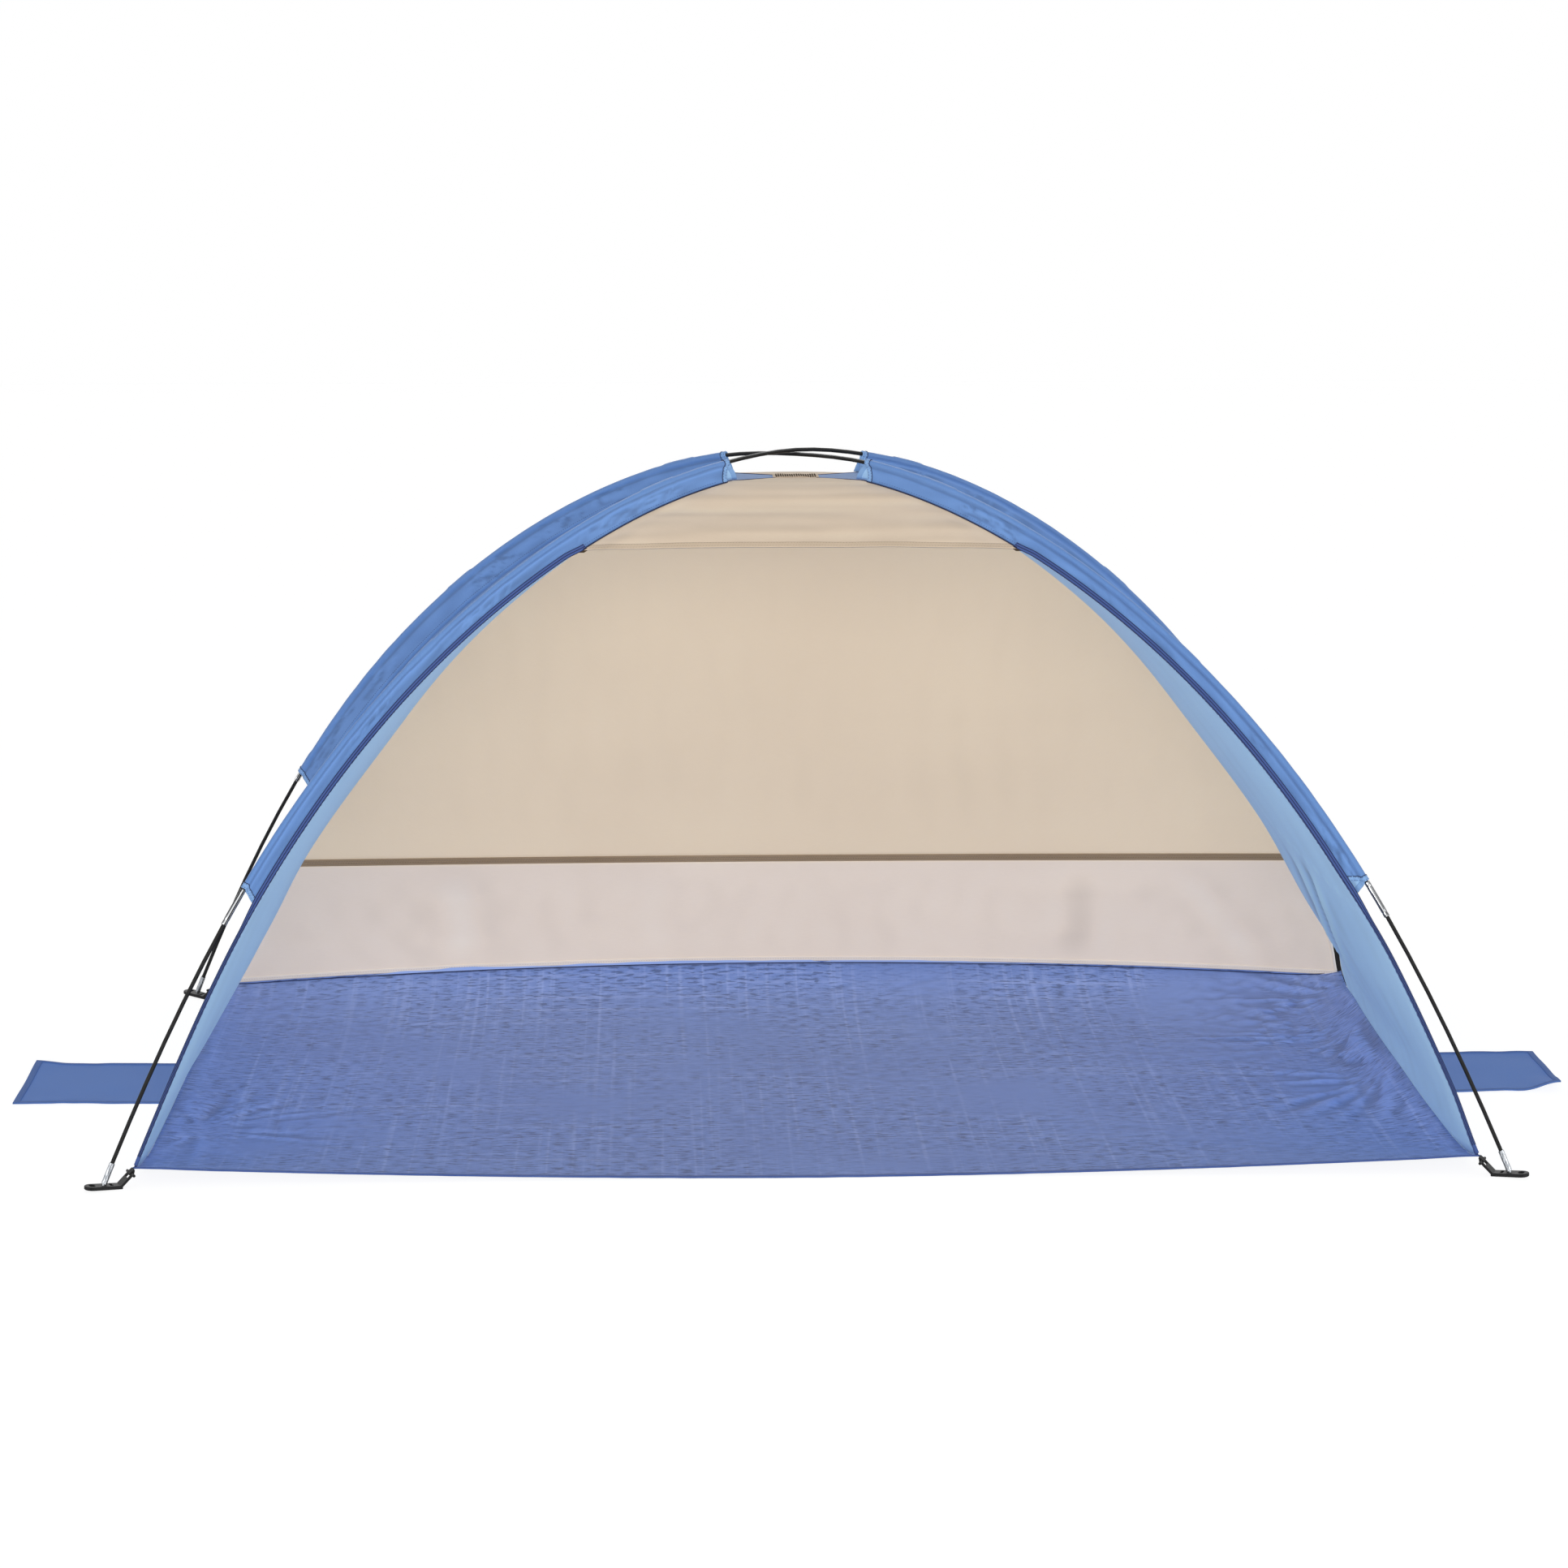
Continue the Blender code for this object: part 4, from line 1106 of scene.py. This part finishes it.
def make_sleeve(word, corner):
    surface, relief = sleeve_surface(corner)
    probe = grid_normals(grid_points(surface, [0.49, 0.5, 0.51], [0.48, 0.5, 0.52]))[1, 1]
    sign = 1 if Vector(probe).dot(arch_normal(corner, 0.5)) > 0 else -1
    skew = 1 if corner[1] == front else 0
    feet = {"front_left": (0.003, 0.007), "front_right": (0.006, -0.008)}.get(word, (0.006, 0.006))

    def trimmed(share, at):
        """At its ends the cloth reaches further along the seam than along the pole."""
        late = 0.014 * between(at, 0.68, 1) - 0.010 * (1 - between(at, 0, 0.33))
        share += skew * late * (1 - between(share, sleeve_top_share, 0.15))
        foot = max(1 - min(at, 1 - at) * 3.2, 0) ** 1.3 * feet[at > 0.5]
        low = between(share, sleeve_end_share - 0.06, sleeve_end_share)
        return surface(share + foot * low, at)

    def fold(share, at, point):
        return sign * relief(share, at, point)

    def trimmed_line(share, lift):
        return line_on(trimmed, [(share, at) for at in line_columns], sign * lift, fold)

    look = {"slot": "sleeve_blue", "relief": fold}
    sleeve = cloth(f"sleeve_{word}_cloth", trimmed,
                   steps(sleeve_top_share, sleeve_end_share, 0.004, 0.87), sleeve_columns,
                   sleeve_thickness, [sleeve_blue, sleeve_light][::sign],
                   nodes=[f"sleeve_{word}"], **look)
    extras, stitched = [], []
    top_end = sleeve_top_share + share_run(hem_run, sleeve_top_share)
    low_start = sleeve_end_share - share_run(hem_run, sleeve_end_share)
    for at, (outer, inner) in enumerate(((sleeve_top_share, top_end),
                                         (sleeve_end_share, low_start))):
        extras.append(cloth(
            f"sleeve_{word}_hem_{at + 1}", trimmed, steps(*sorted((outer, inner)), 0.0012, 0.010),
            sleeve_columns, hem_thickness, [sleeve_hem_lit], **look))
        extras.append(piping(f"sleeve_{word}_hem_line_{at + 1}", trimmed_line(inner, 0.0011)[0],
                             0.0006))
        stitched += [trimmed_line(outer + (inner - outer) * part, 0.0016) for part in (0.8, 0.2)]
    for at in (0.035, 0.965):
        shares = steps(sleeve_top_share + 0.02, sleeve_end_share - 0.01, 0.004, 0.85)
        stitched.append(line_on(trimmed, [(share, at) for share in shares], sign * 0.0007, fold))
    extras.append(stitches(f"sleeve_{word}_stitches", stitched, thread_blue, slot="sleeve_blue",
                           width=0.0009))
    if corner[1] == front:
        def strip(share, across):
            narrow = 1 - 0.45 * between(share, sleeve_end_share, sleeve_end_share + 0.03)
            return foot_line(surface, share, across * narrow)

        def raised_strip(share, across):
            return strip(share, across) + Vector((0, -0.0007, 0))

        strip_start = awning_hem_share - 0.004
        extras.append(cloth(
            f"sleeve_{word}_binding", strip, steps(strip_start, corner_share - 0.001, 0.003, 0.85),
            [-0.0012, 0.0002, 0.0016, 0.0030, 0.0042, 0.0054, 0.0070], 0.0010, [binding_blue],
            slot="binding_blue",
            relief=lambda share, across, point: 0.75 * binding_waves(share, across, point)))
        extras += edge_lines(f"sleeve_{word}_binding", raised_strip,
                             steps(strip_start, corner_share - 0.006, 0.003, 0.85),
                             (-0.0010, 0.0030, 0.0068), 0.0006)
        line = [foot_line(surface, share, 0.0005)
                for share in steps(sleeve_top_share + 0.014, awning_hem_share, 0.004, 0.3)]
        extras.append(piping(f"sleeve_{word}_piping", line, 0.0011))
    declare(sleeve, extras)


for word, corner in corners.items():
    make_sleeve(word, corner)

# Piping of the upper seams, and the patch over the apex

for word, corner in corners.items():
    at_front = corner[1] == front
    end_share = awning_hem_share if at_front else sleeve_top_share + 0.01
    lifted = Vector((0, -0.0012, 0.0004)) if at_front else up * 0.0006
    piping(f"seam_piping_{word}", [seam(corner, share) + lifted for share in
                                   steps(tip_share, end_share, 0.005, 0.4)], 0.0009)

patch_height = seam(corners["rear_right"], tip_share).z + cloth_thickness + 0.0003


def patch_surface(y, x):
    sag = 0.0012 * rough(x / 0.012, y / 0.012, 3.0)
    return Vector((x, y, patch_height + sag))


patch = cloth("apex_patch_cloth", patch_surface, steps(-0.020, 0.020, 0.002, 0.040),
              steps(-0.034, 0.034, 0.002, 0.068), cloth_thickness, [hem_beige], slot="hem_beige",
              nodes=["apex_patch"])
patch_lines = [line_on(patch_surface, [(-0.0185 + 0.037 * step / 6, x)
                                       for x in steps(-0.032, 0.032, 0.002, 0.064)], 0.0009)
               for step in range(7)]
patch_stitches = stitches("apex_patch_stitches", patch_lines, seam_brown, slot="tape_brown",
                          pitch=0.0034, length=0.0030, width=0.0016, height=0.0008)
declare(patch, [patch_stitches])

# Corner loops of webbing, folded round the bars of the feet

def make_loop(word, side, end):
    joint = next(joint for joint in frame["joints"] if joint["name"] == f"foot_{word}_swivel")
    pivot = Vector(joint["pos_m"])
    away = outward((side, end))
    heading = Matrix.Rotation(math.atan2(away.y, away.x) + side * foot_yaw, 3, "Z")
    bar = Vector((arm_inset - plate_reach - arm_length * math.cos(arm_angle), 0,
                  arm_length * math.sin(arm_angle)))
    bar.rotate(Matrix.Rotation(-plate_tilt, 3, "Y"))
    corner_place = Vector((side * floor_corner_x, end * floor_corner_y))
    reach = (corner_place - pivot.xy).length - seat_gap
    end_height = canopy_corner.z - floor_step / 2 - pivot.z
    wrap = bar_radius + seat_gap + loop_thickness / 2
    tail_angle = math.atan2(end_height - bar.z, -reach - bar.x)

    def webbing(along, across):
        """along runs 0 to 1 down one layer, 1 to 2 round the bar, and 2 to 3 along the other."""
        angle = tail_angle - math.pi / 2 - math.pi * min(max(along - 1, 0), 1)
        round_bar = Vector((bar.x + wrap * math.cos(angle), across,
                            bar.z + wrap * math.sin(angle)))
        layer = 1 if along < 1.5 else -1
        tail = Vector((-math.sqrt(reach ** 2 - across ** 2), across,
                       end_height + layer * loop_end_spread / 2))
        share = max(1 - along, along - 2, 0)
        return heading @ round_bar.lerp(tail, share) + pivot

    rows = steps(0, 1, 0.001, 0.012) + steps(1, 2, 0.0007, 0.009)[1:]
    rows += steps(2, 3, 0.001, 0.012)[1:]
    cloth(f"corner_loop_{word}_webbing", webbing, rows,
          steps(-loop_width / 2, loop_width / 2, 0.0008, loop_width), loop_thickness, [loop_black],
          body=f"foot_{word}", slot="loop_black", nodes=[f"corner_loop_{word}"])


for word, corner in corners.items():
    make_loop(word, *corner)

# Ferrules, each a tube rolled in near both ends

half_ferrule = ferrule_length / 2
groove_radius = 0.0037
profile = [(0, 0.0032), (0.0001, groove_radius), (0.0006, ferrule_radius),
           (0.0060, ferrule_radius), (0.0066, groove_radius), (0.0076, groove_radius),
           (0.0082, ferrule_radius), (0.0180, ferrule_radius), (half_ferrule, ferrule_radius)]
profile = ([(at - half_ferrule, radius) for at, radius in profile]
           + [(half_ferrule - at, radius) for at, radius in reversed(profile[:-1])])
tube_columns = 20
for pole, corner in (("a", corners["front_left"]), ("b", corners["front_right"])):
    _, points, runs = pole_run(corner)
    path = np.array([point[:] for point in points])
    for number in range(1, section_count):
        middle = runs[-1] * number / section_count - section_shift
        ends = [Vector([np.interp(at, runs, path[:, axis]) for axis in range(3)])
                for at in (middle - half_ferrule, middle, middle + half_ferrule)]
        run = (ends[2] - ends[0]).normalized()
        first = run.cross(outward(corner).cross(up)).normalized()
        verts, flat = [], []
        for at, radius in profile:
            centre = ends[1].lerp(ends[2] if at > 0 else ends[0], abs(at) / half_ferrule)
            verts += ring(centre, first, run.cross(first), radius, tube_columns)
            flat += [(2 * math.pi * step / tube_columns * ferrule_radius, at)
                     for step in range(tube_columns)]
        obj = mesh_piece(f"pole_{pole}_ferrule_{number}_tube", verts,
                         skin(len(profile), tube_columns), [ferrule_steel], "tent", "steel")
        layer = obj.data.uv_layers.new(name="UVMap")
        for loop in obj.data.loops:
            layer.data[loop.index].uv = flat[loop.vertex_index]
        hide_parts(f"pole_{pole}_ferrule_{number}")

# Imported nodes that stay, with their materials

for name, obj in frame["nodes"].items():
    if name.startswith("pole_") and "section" in name:
        obj.data.materials[0] = rod_coat
    elif name.startswith("pole_"):
        obj.data.materials[0] = tip_steel
    elif name.startswith("foot_"):
        obj.data.materials[0] = foot_plastic

# Studio

scene = bpy.context.scene
world = scene.world or bpy.data.worlds.new("studio")
scene.world = world
world.use_nodes = True
tree = world.node_tree
background = tree.nodes["Background"]
background.inputs["Color"].default_value = (1, 1, 1, 1)
path = node(tree, "LightPath")
seen = math_node(tree, "MAXIMUM", path.outputs["Is Camera Ray"], path.outputs["Is Glossy Ray"])
seen = math_node(tree, "MAXIMUM", seen, path.outputs["Is Transmission Ray"])
tree.links.new(ramp(tree, seen, 0, 1, 0.34, 1.0), background.inputs["Strength"])

ground_mesh = bpy.data.meshes.new("ground_studio")
reach = 14
ground_mesh.from_pydata([(-reach, -reach, 0), (reach, -reach, 0), (reach, reach, 0),
                         (-reach, reach, 0)], [], [(0, 1, 2, 3)])
ground = placed("ground_studio", ground_mesh)
ground.location.z = -0.0002
material, tree, shader = new_shader("studio_floor")
for key, value in (("Base Color", (0.92, 0.92, 0.92, 1)), ("Roughness", 0.9),
                   ("Specular IOR Level", 0.1)):
    shader.inputs[key].default_value = value
path = node(tree, "LightPath")
glow = node(tree, "Emission", {"Color": (1, 1, 1, 1), "Strength": 1.15})
seen = times(tree, path.outputs["Is Camera Ray"], 0.7)
lifted = node(tree, "MixShader", {0: seen, 1: shader.outputs[0], 2: glow.outputs[0]})
tree.links.new(lifted.outputs[0], tree.nodes["Material Output"].inputs["Surface"])
ground_mesh.materials.append(material)


def lamp(name, kind, energy, way, place=(0, 0, 0)):
    light = bpy.data.lights.new(name, kind)
    light.energy = energy
    obj = placed(name, light)
    obj.location = place
    obj.rotation_euler = Vector(way).to_track_quat("-Z", "Y").to_euler()
    return obj


front_place = Vector((-0.4, -7.0, 1.7))
front_lamp = lamp("front_lamp", "AREA", 170, Vector((0, 0, 0.35)) - front_place, front_place)
front_lamp.data.size = 3.6
front_lamp.visible_camera = False
front_lamp.visible_glossy = False
# even light that thin cloth lets through, so these cast no shadow
for name, strength, way in (("left_fill", 0.36, (0.75, 0.65, -0.09)),
                            ("right_fill", 0.42, (-0.75, 0.65, -0.09)),
                            ("top_fill", 0.32, (0, -0.6, -0.8))):
    fill = lamp(name, "SUN", strength * math.pi, way).data
    fill.angle = math.radians(30)
    fill.use_shadow = False

camera = placed("camera", bpy.data.cameras.new("camera"))
camera.location = (-0.220, -5.933, 1.514)
camera.rotation_euler = (math.radians(79.914), 0, math.radians(-1.958))
camera.data.lens = 91.67
camera.data.sensor_width = 36
scene.camera = camera
scene.view_settings.view_transform = "Standard"

bpy.context.view_layer.update()
